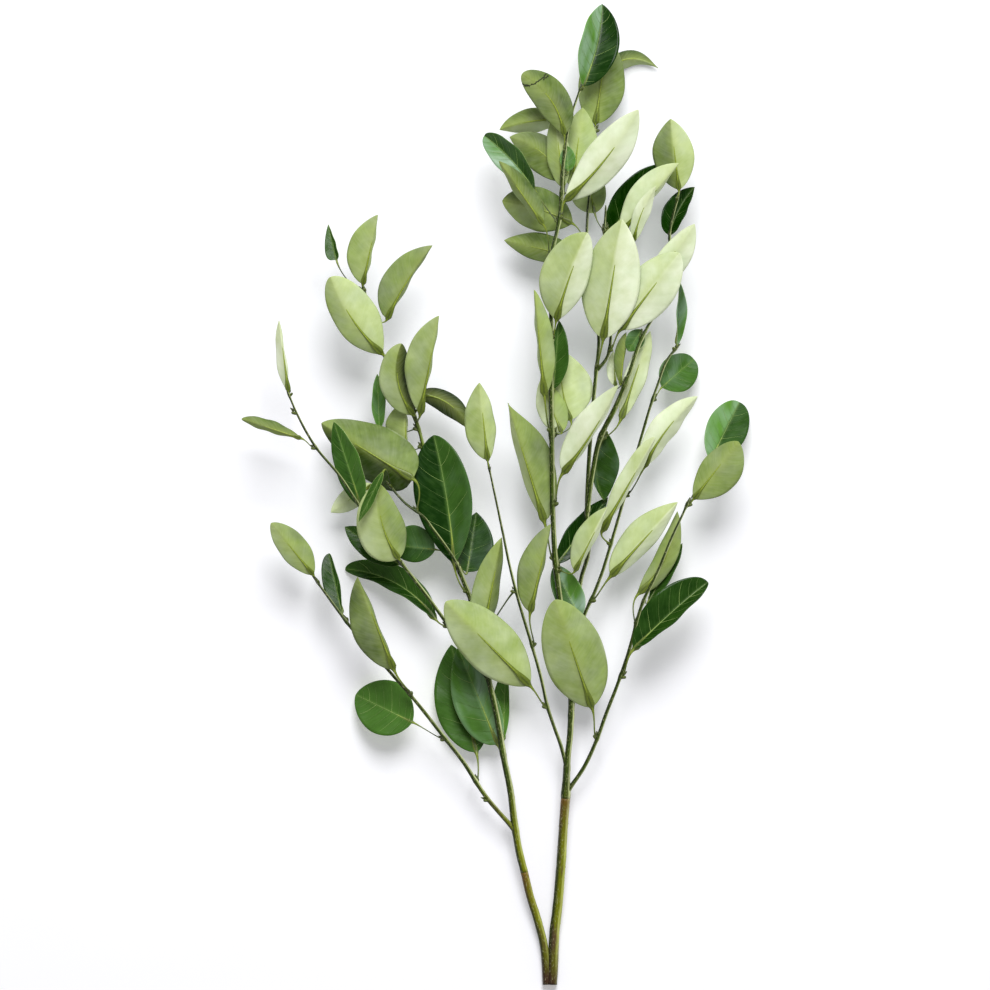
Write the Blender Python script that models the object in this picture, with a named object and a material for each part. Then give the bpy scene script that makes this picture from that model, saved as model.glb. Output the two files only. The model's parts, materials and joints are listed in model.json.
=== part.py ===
"""A cut leafy branch, lying on a flat surface with its leaves as they grow.

The branch lies along +Y, its cut end at -Y. +Z is up. The origin is the centre of
the box that holds it, at the level of the surface. Lengths here are millimetres,
and become metres where a mesh is made.
"""

import math
from collections import namedtuple

import bmesh
import bpy
from mathutils import Vector

MM = 0.001
UP = Vector((0.0, 0.0, 1.0))

# Wood
GAP = 0.3
SECTIONS_PER_SPAN = 2
STOUT_RADIUS = 2.0
STOUT_SIDES = 8
THIN_SIDES = 6

# Leaves
BLADE_THICKNESS = 0.7
TIP_HALF_WIDTH = 0.4
BASE_FULLNESS = 0.74
BLADE_STATIONS = (0.0, 0.13, 0.31, 0.52, 0.74, 0.91, 1.0)

# Leaf stalks
STALK_RADIUS = 0.75
STALK_STATIONS = (0.0, 0.3, 0.66)
STALK_CLEARANCE = 0.4
STALK_PULL = 0.42

# Six corners of a stalk's section, as shares of its radius across and up.
STALK_CORNERS = ((-0.87, 0.5), (0.0, 1.0), (0.87, 0.5), (0.87, -0.5), (0.0, -1.0), (-0.87, -0.5))

# A twig grows from its parent's middle line at the height parent_y. Its route holds
# the points that follow, each with the twig's radius there.
Twig = namedtuple("Twig", "name parent parent_y route")

TWIGS = (
    Twig("stem_left", None, None, (
        (22.1, -283.8, 11.3, 2.9), (19, -272, 12, 2.8), (14.5, -246, 15, 2.7), (11.5, -222, 18, 2.5),
        (7, -200, 21, 2.4), (1, -164, 24, 2.3), (-4, -142, 26, 2.2), (-12, -108, 29, 2.1),
        (-19, -77, 32, 2.0), (-28, -54, 34, 1.9))),
    Twig("stem_right", None, None, (
        (53.15, -227.8, 13.5, 3.2), (54.5, -200, 18, 2.5), (56.5, -180, 21, 2.4), (57.5, -155, 24, 2.4),
        (54, -120, 30, 2.3), (49, -80, 36, 2.3), (45.4, -50, 40, 2.2), (43.6, -19, 44, 2.1),
        (42.7, 34, 50, 2.1), (42.2, 73, 52, 2.0), (42.5, 118, 52, 1.9), (42.5, 180, 52, 1.8),
        (48, 205, 50, 1.7), (51.5, 250, 48, 1.5), (56, 280, 46, 1.3), (65, 308, 44, 1.0))),
    Twig("twig_inner", "stem_right", -166, (
        (60.5, -140, 23, 1.9), (62, -88, 30, 1.8), (65, -62, 32, 1.8), (70, -45, 33, 1.8),
        (69, -12, 34, 1.8), (71, 33, 38, 1.8), (75.5, 88, 42, 1.7), (78, 116, 42, 1.6),
        (72, 160, 38, 1.5), (69, 196, 34, 1.4), (73, 245, 28, 1.2), (75, 275, 28, 1.0))),
    Twig("twig_side", "twig_inner", 93, (
        (84, 103, 43, 1.5), (87, 120, 44, 1.4), (85, 160, 45, 1.3), (82, 196, 45, 1.2), (83, 214, 44, 1.0))),
    Twig("twig_upper_right", "twig_inner", -14, (
        (73, 15, 38, 1.6), (79, 43, 42, 1.6), (90, 65, 47, 1.5), (101, 92, 50, 1.5), (109, 115, 49, 1.4),
        (118, 132, 48, 1.4), (133, 150, 45, 1.3), (136, 160, 44, 1.3), (131, 193, 43, 1.2), (138, 227, 42, 1.0))),
    Twig("twig_right", "twig_inner", -124, (
        (67, -91, 27, 1.7), (75, -73, 28, 1.6), (80, -60, 28, 1.6), (88, -34, 30, 1.5), (96, -6, 31, 1.5),
        (109, 40, 31, 1.4), (122, 82, 30, 1.3), (131, 104, 29, 1.2), (137, 111, 28, 1.0))),
    Twig("twig_outer_right", "stem_right", -225, (
        (66, -204, 18, 1.8), (75, -184, 22, 1.7), (82, -165, 27, 1.7), (91, -142, 32, 1.6), (99, -119, 38, 1.6),
        (112, -78, 45, 1.5), (121, -60, 46, 1.4), (132.7, -32, 45, 1.3), (142, -12, 44, 1.1), (145, -5, 44, 1.0))),
    Twig("twig_middle", "stem_right", -205, (
        (48.7, -186, 21, 1.7), (44, -173, 24, 1.6), (39.7, -160, 27, 1.6), (35, -139, 32, 1.5),
        (28, -114, 38, 1.5), (18.4, -82, 45, 1.4), (11, -53, 50, 1.3), (5.8, -28, 54, 1.2), (-5, 23, 58, 0.9))),
    Twig("twig_upper_left", "stem_left", -54, (
        (-40, -20, 28, 1.7), (-50, 20, 28, 1.7), (-59, 55, 33, 1.6), (-75, 90, 38, 1.5), (-86, 110, 41, 1.4),
        (-97, 148, 44, 1.3), (-99.5, 158, 44, 1.1))),
    Twig("twig_spur", "stem_left", -58, (
        (-28.5, -52, 40.5, 1.4), (-38, -37, 43, 1.4), (-47, -25, 47, 1.4), (-53, -17, 49, 1.3), (-67, -6.5, 47, 1.2), (-80, 8, 44, 1.0))),
    Twig("twig_left", "stem_left", -138, (
        (-20, -118, 27, 1.8), (-35, -98, 31, 1.7), (-54, -72, 38, 1.6), (-71, -50, 43, 1.5), (-85, -32, 44, 1.5),
        (-98, -14, 46, 1.4), (-117, 15, 49, 1.3), (-134.5, 36, 49, 1.2), (-149, 62, 50, 1.1), (-155, 76, 50, 0.9))),
    Twig("twig_low_left", "stem_left", -253, (
        (-6.5, -225, 18, 1.9), (-25, -199, 23, 1.7), (-39, -181, 27, 1.6), (-58, -157, 31, 1.5),
        (-78, -134, 34, 1.5), (-108, -100, 36, 1.4), (-127, -74.5, 35, 1.2), (-136, -62, 34, 1.0))),
)

# The piece at the cut end forks into the left and the right stem.
BASE_LEGS = (
    ((39.2, -369.3, 3.3, 3.3), (38.2, -350, 4, 3.3), (36.6, -338.5, 5, 3.1), (31, -317, 7, 3.0),
     (26.6, -303, 9, 2.9), (22.2, -284.2, 11.25, 2.9)),
    ((43, -369.3, 3.4, 3.4), (43.6, -350, 4.2, 3.5), (44.5, -330, 5.4, 3.6), (46.9, -309, 7, 3.4),
     (49.7, -276, 10, 3.3), (51.5, -248, 12, 3.3), (53.1, -228.3, 13.4, 3.6)),
)

# A leaf's stalk leaves its twig at twig_y. base and tip are the ends of its midrib.
# left and right are its half widths in plan, looking from base to tip, and
# fall_left and fall_right how far each half falls towards its edge, in degrees.
# A leaf whose halves rise shows its glossy upper side; one whose halves fall shows
# its pale underside. bow lifts the middle of the midrib and sweep moves it to the
# right, both as shares of its length. widest is where along its length a leaf is
# widest, and end how full its outline is near the tip: lower is rounder. own is
# True for a leaf in a node of its own, and False for one joined to its twig.
POINTED = 0.84
BLUNT = 0.66
ROUND = 0.52
Leaf = namedtuple("Leaf", "name own twig twig_y base tip left right fall_left fall_right widest bow sweep end")

LEAVES = tuple(Leaf(*row) for row in (
    ("a1", True, "stem_right", 305, (66, 307, 45), (80.5, 369, 32), 12, 16.5, -48, -15, 0.48, 0.03, 0.05, POINTED),
    ("a2", True, "twig_inner", 274, (75.5, 279, 28), (85, 345, 22), 17, 18, 22, 22, 0.45, 0.04, 0.0, POINTED),
    ("a3", True, "twig_inner", 262, (82, 318, 18), (123, 322, 4), 7, 6, 40, 60, 0.5, 0.02, -0.2, POINTED),
    ("a4", True, "stem_right", 258, (52, 270, 52), (20, 315, 62), 12, 14, 25, 15, 0.5, 0.03, 0.12, ROUND),
    ("a5", False, "stem_right", 278, (50, 282, 38), (3.5, 274.5, 34), 3, 10, 70, 15, 0.45, 0.02, 0.05, POINTED),
    ("a6", False, "stem_right", 221, (51, 236, 38), (11, 269, 33), 14, 13, 22, 5, 0.45, 0.0, 0.12, POINTED),
    ("a7", True, "stem_right", 227, (51, 231, 41), (45, 287, 42), 9.5, 8, 25, 15, 0.45, 0.03, 0.0, POINTED),
    ("a8", True, "stem_right", 226, (58, 232, 37), (66, 291, 35), 14, 16, 22, 22, 0.45, 0.03, 0.0, POINTED),
    ("a9", True, "stem_right", 208, (53, 221, 52), (107, 288, 78), 15.5, 14, 22, 25, 0.5, 0.03, 0.045, POINTED),
    ("a10", False, "stem_right", 240, (55, 243, 44), (54, 262, 43), 6, 6, -20, -20, 0.45, 0.0, 0.0, BLUNT),
    ("b1", True, "stem_right", 205, (29.5, 229, 46), (-8, 270, 34), 9, 9, -45, -45, 0.45, 0.05, 0.045, BLUNT),
    ("b2", True, "stem_right", 179, (36, 203, 58), (3, 250, 62), 4, 10, 65, 25, 0.45, 0.02, 0.0, POINTED),
    ("b3", False, "twig_inner", 192, (58, 204, 38), (5.5, 221, 32), 15, 16, 22, 22, 0.5, 0.03, 0.05, BLUNT),
    ("b4", False, "stem_right", 165, (60, 178, 36), (7, 190, 30), 9.5, 12, 25, 25, 0.45, 0.03, 0.0, POINTED),
    ("b5", True, "stem_right", 118, (46, 131, 58), (69, 196, 78), 22, 14, 18, 25, 0.48, 0.03, -0.02, BLUNT),
    ("b6", True, "twig_inner", 97, (81, 117, 54), (95, 206, 77), 21.5, 21, 22, 20, 0.48, 0.03, 0.0, POINTED),
    ("b7", True, "twig_side", 109, (94, 124, 49.5), (138, 181, 65.5), 18, 18, 22, 16, 0.5, 0.03, 0.0, BLUNT),
    ("b8", True, "twig_upper_right", 138, (112, 150, 49), (149.5, 203, 61), 9, 14, 22, 22, 0.5, 0.03, 0.0, POINTED),
    ("c1", True, "twig_side", 192, (82.5, 193, 38), (128, 249, 34), 15.5, 10, -25, -25, 0.5, 0.0, 0.0, POINTED),
    ("c2", True, "twig_side", 200, (94, 196, 46), (137.5, 248.5, 60), 15.5, 2, 15, 75, 0.52, 0.03, 0.0, POINTED),
    ("c3", False, "twig_side", 198, (104, 190, 55), (120, 231, 66), 6, 6, 25, 45, 0.45, 0.03, -0.05, POINTED),
    ("c4", True, "twig_upper_right", 222, (138, 229, 45), (131.7, 282, 52), 15.5, 14.5, 32, 15, 0.48, 0.03, 0.0, POINTED),
    ("c5", True, "twig_upper_right", 193, (131, 195, 38), (150, 231.5, 30), 8.5, 6, -20, -45, 0.4, 0.0, -0.06, POINTED),
    ("c6", False, "twig_right", 109, (137, 113, 29), (138.5, 161, 38), 1, 6, 75, 45, 0.5, 0.03, 0.0, POINTED),
    ("c7", False, "twig_right", 72, (125.5, 81, 26), (149.7, 102.5, 8), 14, 14.5, -15, -15, 0.45, 0.0, 0.0, ROUND),
    ("d1", False, "twig_side", 199, (75, 212, 31), (67, 250, 21), 15, 12, 20, 20, 0.45, 0.03, 0.0, POINTED),
    ("e1", True, "stem_right", 44, (57, 56, 41), (50, 108, 39), 17, 23, 12, 15, 0.45, 0.0, -0.06, BLUNT),
    ("e8", False, "stem_right", 46, (50, 47, 49), (34, 86, 40), 11, 11, 22, 15, 0.45, 0.03, 0.0, POINTED),
    ("e2", True, "stem_right", -7, (51, 16.5, 54), (92, 82, 80), 16, 2.5, 20, 78, 0.42, 0.03, 0.03, POINTED),
    ("e3", True, "twig_upper_right", 46, (84, 47, 38), (82, -4, 20), 17.5, 3, -12, -45, 0.45, 0.0, 0.13, BLUNT),
    ("e4", True, "twig_upper_right", 43, (94.5, 57, 42), (116.5, 123, 39), 8, 8.5, 35, 35, 0.5, 0.0, 0.0, POINTED),
    ("e5", False, "twig_upper_right", 83, (94, 83, 45), (98.5, 122, 45), 7, 1, 20, 75, 0.55, 0.0, 0.0, POINTED),
    ("e6", False, "twig_upper_right", 83, (90.5, 82, 36), (89, 108, 36), 6, 1.5, 20, 60, 0.45, 0.0, 0.0, POINTED),
    ("e7", False, "twig_upper_right", 118, (110, 124, 45), (100, 108, 43), 7, 7, -15, -25, 0.45, 0.0, 0.0, BLUNT),
    ("f1", True, "twig_right", 0, (112, 21, 34), (152, 74, 44), 10.5, 7, 20, 50, 0.45, 0.03, -0.05, POINTED),
    ("f2", True, "twig_right", -37, (80.5, -27, 36), (120, 43, 54), 9.5, 3, 20, 65, 0.55, 0.03, 0.0, ROUND),
    ("f3", True, "twig_right", -79, (87, -61, 34), (137, -5.5, 42), 12, 8, 35, 35, 0.45, 0.03, 0.0, POINTED),
    ("f4", False, "twig_outer_right", -97, (108, -74, 34), (137, -12.5, 34), 8, 8, 25, 25, 0.45, 0.0, 0.1, POINTED),
    ("f5", False, "twig_outer_right", -80, (116, -79, 29.5), (141, -36.5, 18), 5, 6, -35, -35, 0.45, 0.0, 0.0, POINTED),
    ("f6", True, "twig_outer_right", -136, (104, -116, 34), (158.5, -65, 10), 18, 6, -12, -60, 0.52, 0.03, -0.02, ROUND),
    ("g1", True, "twig_outer_right", -8, (162, 26, 30), (184.5, 70, 0.5), 15, 15, -15, -15, 0.5, 0.0, 0.0, ROUND),
    ("g2", True, "twig_outer_right", -7, (149, -3, 44), (182.6, 40, 50), 12, 17, 22, 15, 0.52, 0.03, 0.0, BLUNT),
    ("h1", True, "stem_right", 48, (37, 75, 58), (29.4, 153.5, 72), 2, 11, 80, 20, 0.45, 0.03, 0.0, POINTED),
    ("h2", False, "stem_right", 76, (44, 80, 47), (48, 131, 46), 4, 9.5, -25, -25, 0.45, 0.0, 0.0, POINTED),
    ("h3", True, "stem_right", -48, (37, -20, 42), (9.7, 69, 54), 3, 19, 70, 18, 0.5, 0.0, 0.0, POINTED),
    ("h4", True, "twig_middle", -113, (26.5, -88, 46), (41.6, -22, 56), 15, 2, 20, 75, 0.45, 0.03, 0.0, POINTED),
    ("h5", False, "stem_right", -52, (47, -51, 34), (85, -2, 14), 10, 8, -30, -20, 0.42, 0.0, 0.0, POINTED),
    ("h6", False, "stem_right", -105, (64, -92, 34), (45, -53, 26), 11, 11, -20, -20, 0.45, 0.0, 0.0, BLUNT),
    ("h7", False, "stem_right", -57, (60, -57, 48), (84, -9, 56), 12, 3.5, 20, 65, 0.45, 0.03, 0.0, POINTED),
    ("j1", True, "twig_outer_right", -183, (73, -160, 28), (45, -78.5, 56), 22, 22, 20, 20, 0.45, 0.03, 0.0, BLUNT),
    ("k1", True, "twig_middle", -159, (26, -143, 36), (-37, -80, 56), 20, 18.5, 20, 20, 0.48, 0.03, 0.0, BLUNT),
    ("k2", False, "twig_middle", -72, (-8, -99, 40), (5, -32, 52), 14.5, 6, 20, 55, 0.35, 0.0, 0.0, POINTED),
    ("m1", True, "twig_middle", 20, (-5.5, 26, 60), (-11.7, 84, 66), 14.5, 8.5, 20, 40, 0.45, 0.03, 0.0, POINTED),
    ("n1", False, "twig_upper_left", 152, (-119, 176.5, 44), (-125.2, 203, 38), 7.5, 1.5, -20, -60, 0.3, 0.0, 0.0, POINTED),
    ("n2", False, "twig_upper_left", 153, (-99, 158, 46), (-88, 210, 56), 15, 2, 15, 75, 0.45, 0.03, 0.0, POINTED),
    ("n3", True, "twig_upper_left", 128, (-81, 132, 42), (-47, 187, 54), 16, 2, 20, 75, 0.42, 0.03, -0.03, POINTED),
    ("n4", True, "twig_upper_left", 98, (-84.6, 106, 46), (-123, 163.5, 58), 12, 19, 25, 15, 0.5, 0.03, -0.06, ROUND),
    ("n5", True, "twig_upper_left", 60, (-61, 60, 42), (-70, 113.5, 58), 14, 11, 20, 40, 0.5, 0.03, -0.13, BLUNT),
    ("n6", True, "twig_upper_left", 56, (-56, 61, 46), (-42, 134, 62), 16, 1.5, 15, 78, 0.45, 0.03, 0.0, POINTED),
    ("n7", False, "twig_upper_left", 50, (-87, 50, 26), (-88.6, 91, 26), 5, 5.5, -40, -40, 0.45, 0.0, 0.0, POINTED),
    ("n8", False, "twig_left", 75, (-155, 78, 50), (-162, 131, 48), 6, 1.5, 50, 75, 0.45, 0.03, 0.0, POINTED),
    ("n9", False, "twig_left", 36, (-145.4, 42.5, 48), (-190.6, 56.4, 50), 1.5, 6.5, 75, 45, 0.5, 0.03, 0.0, POINTED),
    ("n10", True, "twig_left", -6, (-100.6, -8, 40), (-121, 55, 40), 10, 10, -15, -40, 0.45, 0.0, 0.0, POINTED),
    ("n11", True, "twig_spur", -12, (-61.5, 12, 48), (-130.5, 54, 27), 15, 21, 45, 18, 0.42, 0.03, 0.0, BLUNT),
    ("n12", False, "twig_left", -20, (-92, 8, 29), (-120.5, -12.5, 24), 8, 8.5, 20, 20, 0.5, 0.0, 0.0, POINTED),
    ("n13", False, "twig_upper_left", 36, (-66, 34, 32), (-69, 70, 38), 7, 7, 30, 30, 0.45, 0.0, 0.0, POINTED),
    ("n14", True, "stem_left", -72, (-30.6, -52, 36.2), (-46, 45, 34), 24, 19, -10, -22, 0.46, 0.0, 0.022, POINTED),
    ("n15", False, "twig_upper_left", -40, (-21, -58, 28), (-14, -13, 18), 12, 17, -12, -12, 0.4, 0.0, 0.0, POINTED),
    ("n16", True, "twig_left", -50, (-72, -48, 49), (-84.5, 7.5, 59), 20, 17, 18, 18, 0.36, 0.03, -0.09, BLUNT),
    ("n17", False, "twig_spur", 6, (-83, 14, 44), (-97, -10, 41), 3, 3, -50, -50, 0.45, 0.0, 0.0, POINTED),
    ("n18", False, "twig_left", -52, (-72, -52, 38), (-111, -25, 22), 9, 10, -20, -20, 0.45, 0.0, 0.0, POINTED),
    ("n19", True, "twig_left", -98, (-45, -93, 30), (-112, -54, 0.5), 4, 10.5, -50, -20, 0.45, 0.0, 0.11, POINTED),
    ("n20", False, "twig_upper_left", -44, (-45, -41, 30), (-80, -37, 18), 12.5, 19.5, -12, -12, 0.45, 0.0, 0.0, POINTED),
    ("n21", False, "twig_upper_left", 62, (-58, 76, 36), (-19.5, 49.5, 40), 8, 8.5, 30, 25, 0.45, 0.0, -0.15, POINTED),
    ("q1", True, "twig_low_left", -66, (-136.5, -60, 36.5), (-168, -21, 46), 9.5, 12, 22, 18, 0.48, 0.03, 0.0, BLUNT),
    ("q2", False, "twig_low_left", -95, (-115, -89, 34), (-125, -44, 20), 9.5, 1.5, -12, -70, 0.45, 0.0, 0.0, BLUNT),
    ("q3", True, "twig_low_left", -150, (-76, -131, 40), (-103, -61.5, 54), 16.5, 2, 22, 75, 0.45, 0.03, 0.0, POINTED),
    ("q4", True, "twig_low_left", -183, (-59, -172, 24), (-104, -152, 6), 20, 20, -12, -12, 0.45, 0.0, 0.0, BLUNT),
    ("q5", True, "twig_low_left", -216, (-14, -194, 12), (-33, -113, 3), 22.5, 16, -8, -8, 0.45, 0.0, 0.0, POINTED),
    ("q6", True, "stem_left", -195, (2, -188, 16), (-28, -115, 11), 19.5, 13, -14, -14, 0.42, 0.0, 0.0, POINTED),
    ("q7", False, "stem_left", -190, (6, -185, 12), (8, -130, 8), 9, 4, -20, -20, 0.45, 0.0, 0.0, POINTED),
))


def material(name, colour, roughness):
    """A plain finish in one colour, given as linear red, green and blue."""
    made = bpy.data.materials.new(name)
    made.use_nodes = True
    shader = made.node_tree.nodes["Principled BSDF"]
    shader.inputs["Base Color"].default_value = (*colour, 1.0)
    shader.inputs["Roughness"].default_value = roughness
    made.diffuse_color = (*colour, 1.0)
    return made


def smooth_run(points, steps):
    """Points on one smooth curve through these points, steps of them to each span. The radius runs along too."""
    points = [Vector(point) for point in points]
    chords = [(after - before).to_3d().length for before, after in zip(points, points[1:])]
    slopes = [(after - before) / chord for before, after, chord in zip(points, points[1:], chords)]
    turns = [slopes[0]]
    for i in range(1, len(slopes)):
        turns.append((slopes[i - 1] * chords[i] + slopes[i] * chords[i - 1]) / (chords[i - 1] + chords[i]))
    turns.append(slopes[-1])
    run = []
    for i, chord in enumerate(chords):
        for step in range(steps):
            t = step / steps
            run.append(
                points[i] * (2 * t**3 - 3 * t**2 + 1)
                + turns[i] * chord * (t**3 - 2 * t**2 + t)
                + points[i + 1] * (3 * t**2 - 2 * t**3)
                + turns[i + 1] * chord * (t**3 - t**2)
            )
    return run + [points[-1]]


def place_on(run, y):
    """Where the run passes this y: the point, its direction and its radius."""
    for before, after in zip(run, run[1:]):
        if before.y <= y <= after.y:
            share = (y - before.y) / (after.y - before.y)
            place = before.lerp(after, share)
            return place.to_3d(), (after - before).to_3d().normalized(), place.w
    raise ValueError(f"no place at y {y} on this twig")


def loft(name, rings, finish):
    """A closed solid through rings of equally many corners, with its two ends capped."""
    shape = bmesh.new()
    made = [[shape.verts.new(corner * MM) for corner in ring] for ring in rings]
    count = len(rings[0])
    for lower, upper in zip(made, made[1:]):
        for i in range(count):
            j = (i + 1) % count
            shape.faces.new((lower[i], lower[j], upper[j], upper[i]))
    shape.faces.new(made[0])
    shape.faces.new(made[-1])
    bmesh.ops.recalc_face_normals(shape, faces=shape.faces[:])
    mesh = bpy.data.meshes.new(name)
    shape.to_mesh(mesh)
    shape.free()
    mesh.shade_smooth()
    mesh.set_sharp_from_angle(angle=math.radians(50))
    mesh.materials.append(finish)
    made_object = bpy.data.objects.new(name, mesh)
    bpy.context.scene.collection.objects.link(made_object)
    return made_object


def tube_rings(run, sides, extra=0.0):
    """Rings round the run. extra widens them all, and lengthens both ends."""
    rings = []
    across = UP
    for i, place in enumerate(run):
        before = run[max(i - 1, 0)]
        after = run[min(i + 1, len(run) - 1)]
        ahead = (after - before).to_3d().normalized()
        across = (across - ahead * across.dot(ahead)).normalized()
        beside = ahead.cross(across)
        middle = place.to_3d()
        if i == 0:
            middle -= ahead * extra
        if i == len(run) - 1:
            middle += ahead * extra
        radius = place.w + extra
        turns = [2 * math.pi * (k + 0.5) / sides for k in range(sides)]
        rings.append([middle + (across * math.cos(a) + beside * math.sin(a)) * radius for a in turns])
    return rings


def sides_for(run):
    return STOUT_SIDES if run[0].w > STOUT_RADIUS else THIN_SIDES


def hide_operand(operand):
    """Marks a shape that is only there to cut another or to be joined to it."""
    operand.hide_render = True
    operand.display_type = "WIRE"


def combine(target, operand, operation):
    hide_operand(operand)
    step = target.modifiers.new(f"{operation.lower()}_{operand.name}", "BOOLEAN")
    step.operation = operation
    step.solver = "EXACT"
    step.object = operand


def half_width_share(leaf, t):
    """The outline of a leaf: its half width at t of its length, as a share of the widest."""
    u = t ** (math.log(0.5) / math.log(leaf.widest))
    fullness = BASE_FULLNESS + (leaf.end - BASE_FULLNESS) * t
    return max(4 * u * (1 - u), 0.0) ** fullness


def midrib_frame(leaf, t):
    """The midrib at t of the leaf's length: the point, the way ahead, the way across to the right, and up."""
    base, tip = Vector(leaf.base), Vector(leaf.tip)
    length = (tip - base).length
    ahead = (tip - base).normalized()
    across = ahead.cross(UP).normalized()
    bend = (across.cross(ahead) * leaf.bow + across * leaf.sweep) * length
    place = base + (tip - base) * t + bend * 4 * t * (1 - t)
    ahead = ((tip - base) + bend * 4 * (1 - 2 * t)).normalized()
    across = ahead.cross(UP).normalized()
    return place, ahead, across, across.cross(ahead)


def blade_ring(leaf, t):
    """Left edge, midrib and right edge on top, then right edge, midrib and left edge underneath."""
    place, _, across, up = midrib_frame(leaf, t)
    share = half_width_share(leaf, t)
    slopes = (math.radians(leaf.fall_left), math.radians(leaf.fall_right))
    left = max(leaf.left * share, TIP_HALF_WIDTH * math.cos(slopes[0]))
    right = max(leaf.right * share, TIP_HALF_WIDTH * math.cos(slopes[1]))
    edge_left = place - across * left - up * left * math.tan(slopes[0])
    edge_right = place + across * right - up * right * math.tan(slopes[1])
    faces_left = up * math.cos(slopes[0]) - across * math.sin(slopes[0])
    faces_right = up * math.cos(slopes[1]) + across * math.sin(slopes[1])
    faces_mid = (faces_left + faces_right).normalized()
    half = BLADE_THICKNESS / 2
    top = (edge_left + faces_left * half, place + faces_mid * half, edge_right + faces_right * half)
    under = (edge_right - faces_right * half, place - faces_mid * half, edge_left - faces_left * half)
    return [*top, *under]


def stalk_rings(leaf, run):
    """Rings of the leaf's stalk, from the twig to just before the blade."""
    place, ahead, radius = place_on(run, leaf.twig_y)
    base, blade_ahead, across, _ = midrib_frame(leaf, 0.0)
    outward = base - place
    outward = (outward - ahead * outward.dot(ahead)).normalized()
    start = place + outward * (radius + STALK_CLEARANCE) if leaf.own else place
    reach = (base - start).length * STALK_PULL
    pulls = (start, start + outward * reach, base - blade_ahead * reach, base)
    rings = []
    for t in reversed(STALK_STATIONS):
        s = 1 - t
        middle = pulls[0] * s**3 + pulls[1] * 3 * s * s * t + pulls[2] * 3 * s * t * t + pulls[3] * t**3
        way = (pulls[1] - pulls[0]) * s * s + (pulls[2] - pulls[1]) * 2 * s * t + (pulls[3] - pulls[2]) * t * t
        way.normalize()
        across = (across - way * across.dot(way)).normalized()
        up = across.cross(way)
        rings.append([middle + (across * x + up * z) * STALK_RADIUS for x, z in STALK_CORNERS])
    return rings[::-1]


def make_leaf(leaf, run, finish):
    rings = stalk_rings(leaf, run) + [blade_ring(leaf, t) for t in BLADE_STATIONS]
    return loft(f"leaf_{leaf.name}", rings, finish)


def make_base(finish):
    left, right = (
        loft(name, tube_rings(smooth_run(points, SECTIONS_PER_SPAN), STOUT_SIDES), finish)
        for name, points in zip(("base_left_leg", "stem_base"), BASE_LEGS)
    )
    combine(right, left, "UNION")


def make_twigs(finish):
    """Every twig, cut back to a small gap where it leaves its parent. Returns each one's run and object."""
    runs, objects = {}, {}
    for twig in TWIGS:
        points = twig.route
        if twig.parent:
            place, _, _ = place_on(runs[twig.parent], twig.parent_y)
            points = ((*place, points[0][3]), *points)
        runs[twig.name] = smooth_run(points, SECTIONS_PER_SPAN)
        run = runs[twig.name]
        objects[twig.name] = loft(twig.name, tube_rings(run, sides_for(run)), finish)
        if twig.parent:
            parent_run = runs[twig.parent]
            cutter = loft(f"room_for_{twig.name}", tube_rings(parent_run, sides_for(parent_run), GAP), finish)
            combine(objects[twig.name], cutter, "DIFFERENCE")
    return runs, objects


def main():
    for old in list(bpy.data.objects):
        bpy.data.objects.remove(old)
    bark = material("green_bark", (0.13, 0.14, 0.03), 0.5)
    upper_side = material("glossy_upper_side", (0.02, 0.09, 0.02), 0.35)
    underside = material("matt_underside", (0.38, 0.5, 0.21), 0.6)
    make_base(bark)
    runs, twigs = make_twigs(bark)
    for leaf in LEAVES:
        shows_underside = leaf.fall_left + leaf.fall_right > 0
        made = make_leaf(leaf, runs[leaf.twig], underside if shows_underside else upper_side)
        if not leaf.own:
            combine(twigs[leaf.twig], made, "UNION")


if __name__ == "__main__":
    main()
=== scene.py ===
"""A cut olive branch lying on a pale floor: its bark, buds, stalks, leaves and veins."""

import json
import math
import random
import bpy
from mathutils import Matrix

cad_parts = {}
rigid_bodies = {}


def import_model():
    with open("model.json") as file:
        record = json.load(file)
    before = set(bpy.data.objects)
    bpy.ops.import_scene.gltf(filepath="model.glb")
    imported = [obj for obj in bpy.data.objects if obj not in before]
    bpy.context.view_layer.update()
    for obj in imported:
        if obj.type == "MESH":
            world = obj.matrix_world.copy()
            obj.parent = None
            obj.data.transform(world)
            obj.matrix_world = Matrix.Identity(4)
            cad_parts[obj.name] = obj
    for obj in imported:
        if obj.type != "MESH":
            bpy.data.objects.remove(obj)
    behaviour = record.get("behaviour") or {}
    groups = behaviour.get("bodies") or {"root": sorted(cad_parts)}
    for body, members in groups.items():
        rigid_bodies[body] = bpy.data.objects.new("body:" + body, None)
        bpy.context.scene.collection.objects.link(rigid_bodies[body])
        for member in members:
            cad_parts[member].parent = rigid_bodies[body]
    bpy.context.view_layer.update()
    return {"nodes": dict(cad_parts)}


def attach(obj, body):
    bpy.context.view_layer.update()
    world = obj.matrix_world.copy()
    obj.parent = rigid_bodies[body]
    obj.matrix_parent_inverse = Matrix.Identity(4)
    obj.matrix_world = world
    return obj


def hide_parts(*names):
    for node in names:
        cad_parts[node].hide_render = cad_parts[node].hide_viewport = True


bl_info = {
    "name": "Olive Branch",
    "version": (1, 0, 0),
    "blender": (4, 5, 0),
    "location": "3D View > Sidebar > Branch",
    "description": "Makes a cut leafy branch that lies on a pale floor",
    "category": "Add Mesh",
}

from collections import namedtuple

import bpy
import numpy as np
from mathutils import Vector, noise

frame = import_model()

# A leaf stands for its own node where the frame has one. The others are in their twig's node.
NODES = set(frame["nodes"])

MM = 0.001
UP = Vector((0.0, 0.0, 1.0))
BODY = "root"

# A twig grows from its parent's middle line at the height parent_y. Its route holds
# the points that follow, each with the solid twig's radius there. Lengths are in mm.
Twig = namedtuple("Twig", "name parent parent_y route")

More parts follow.
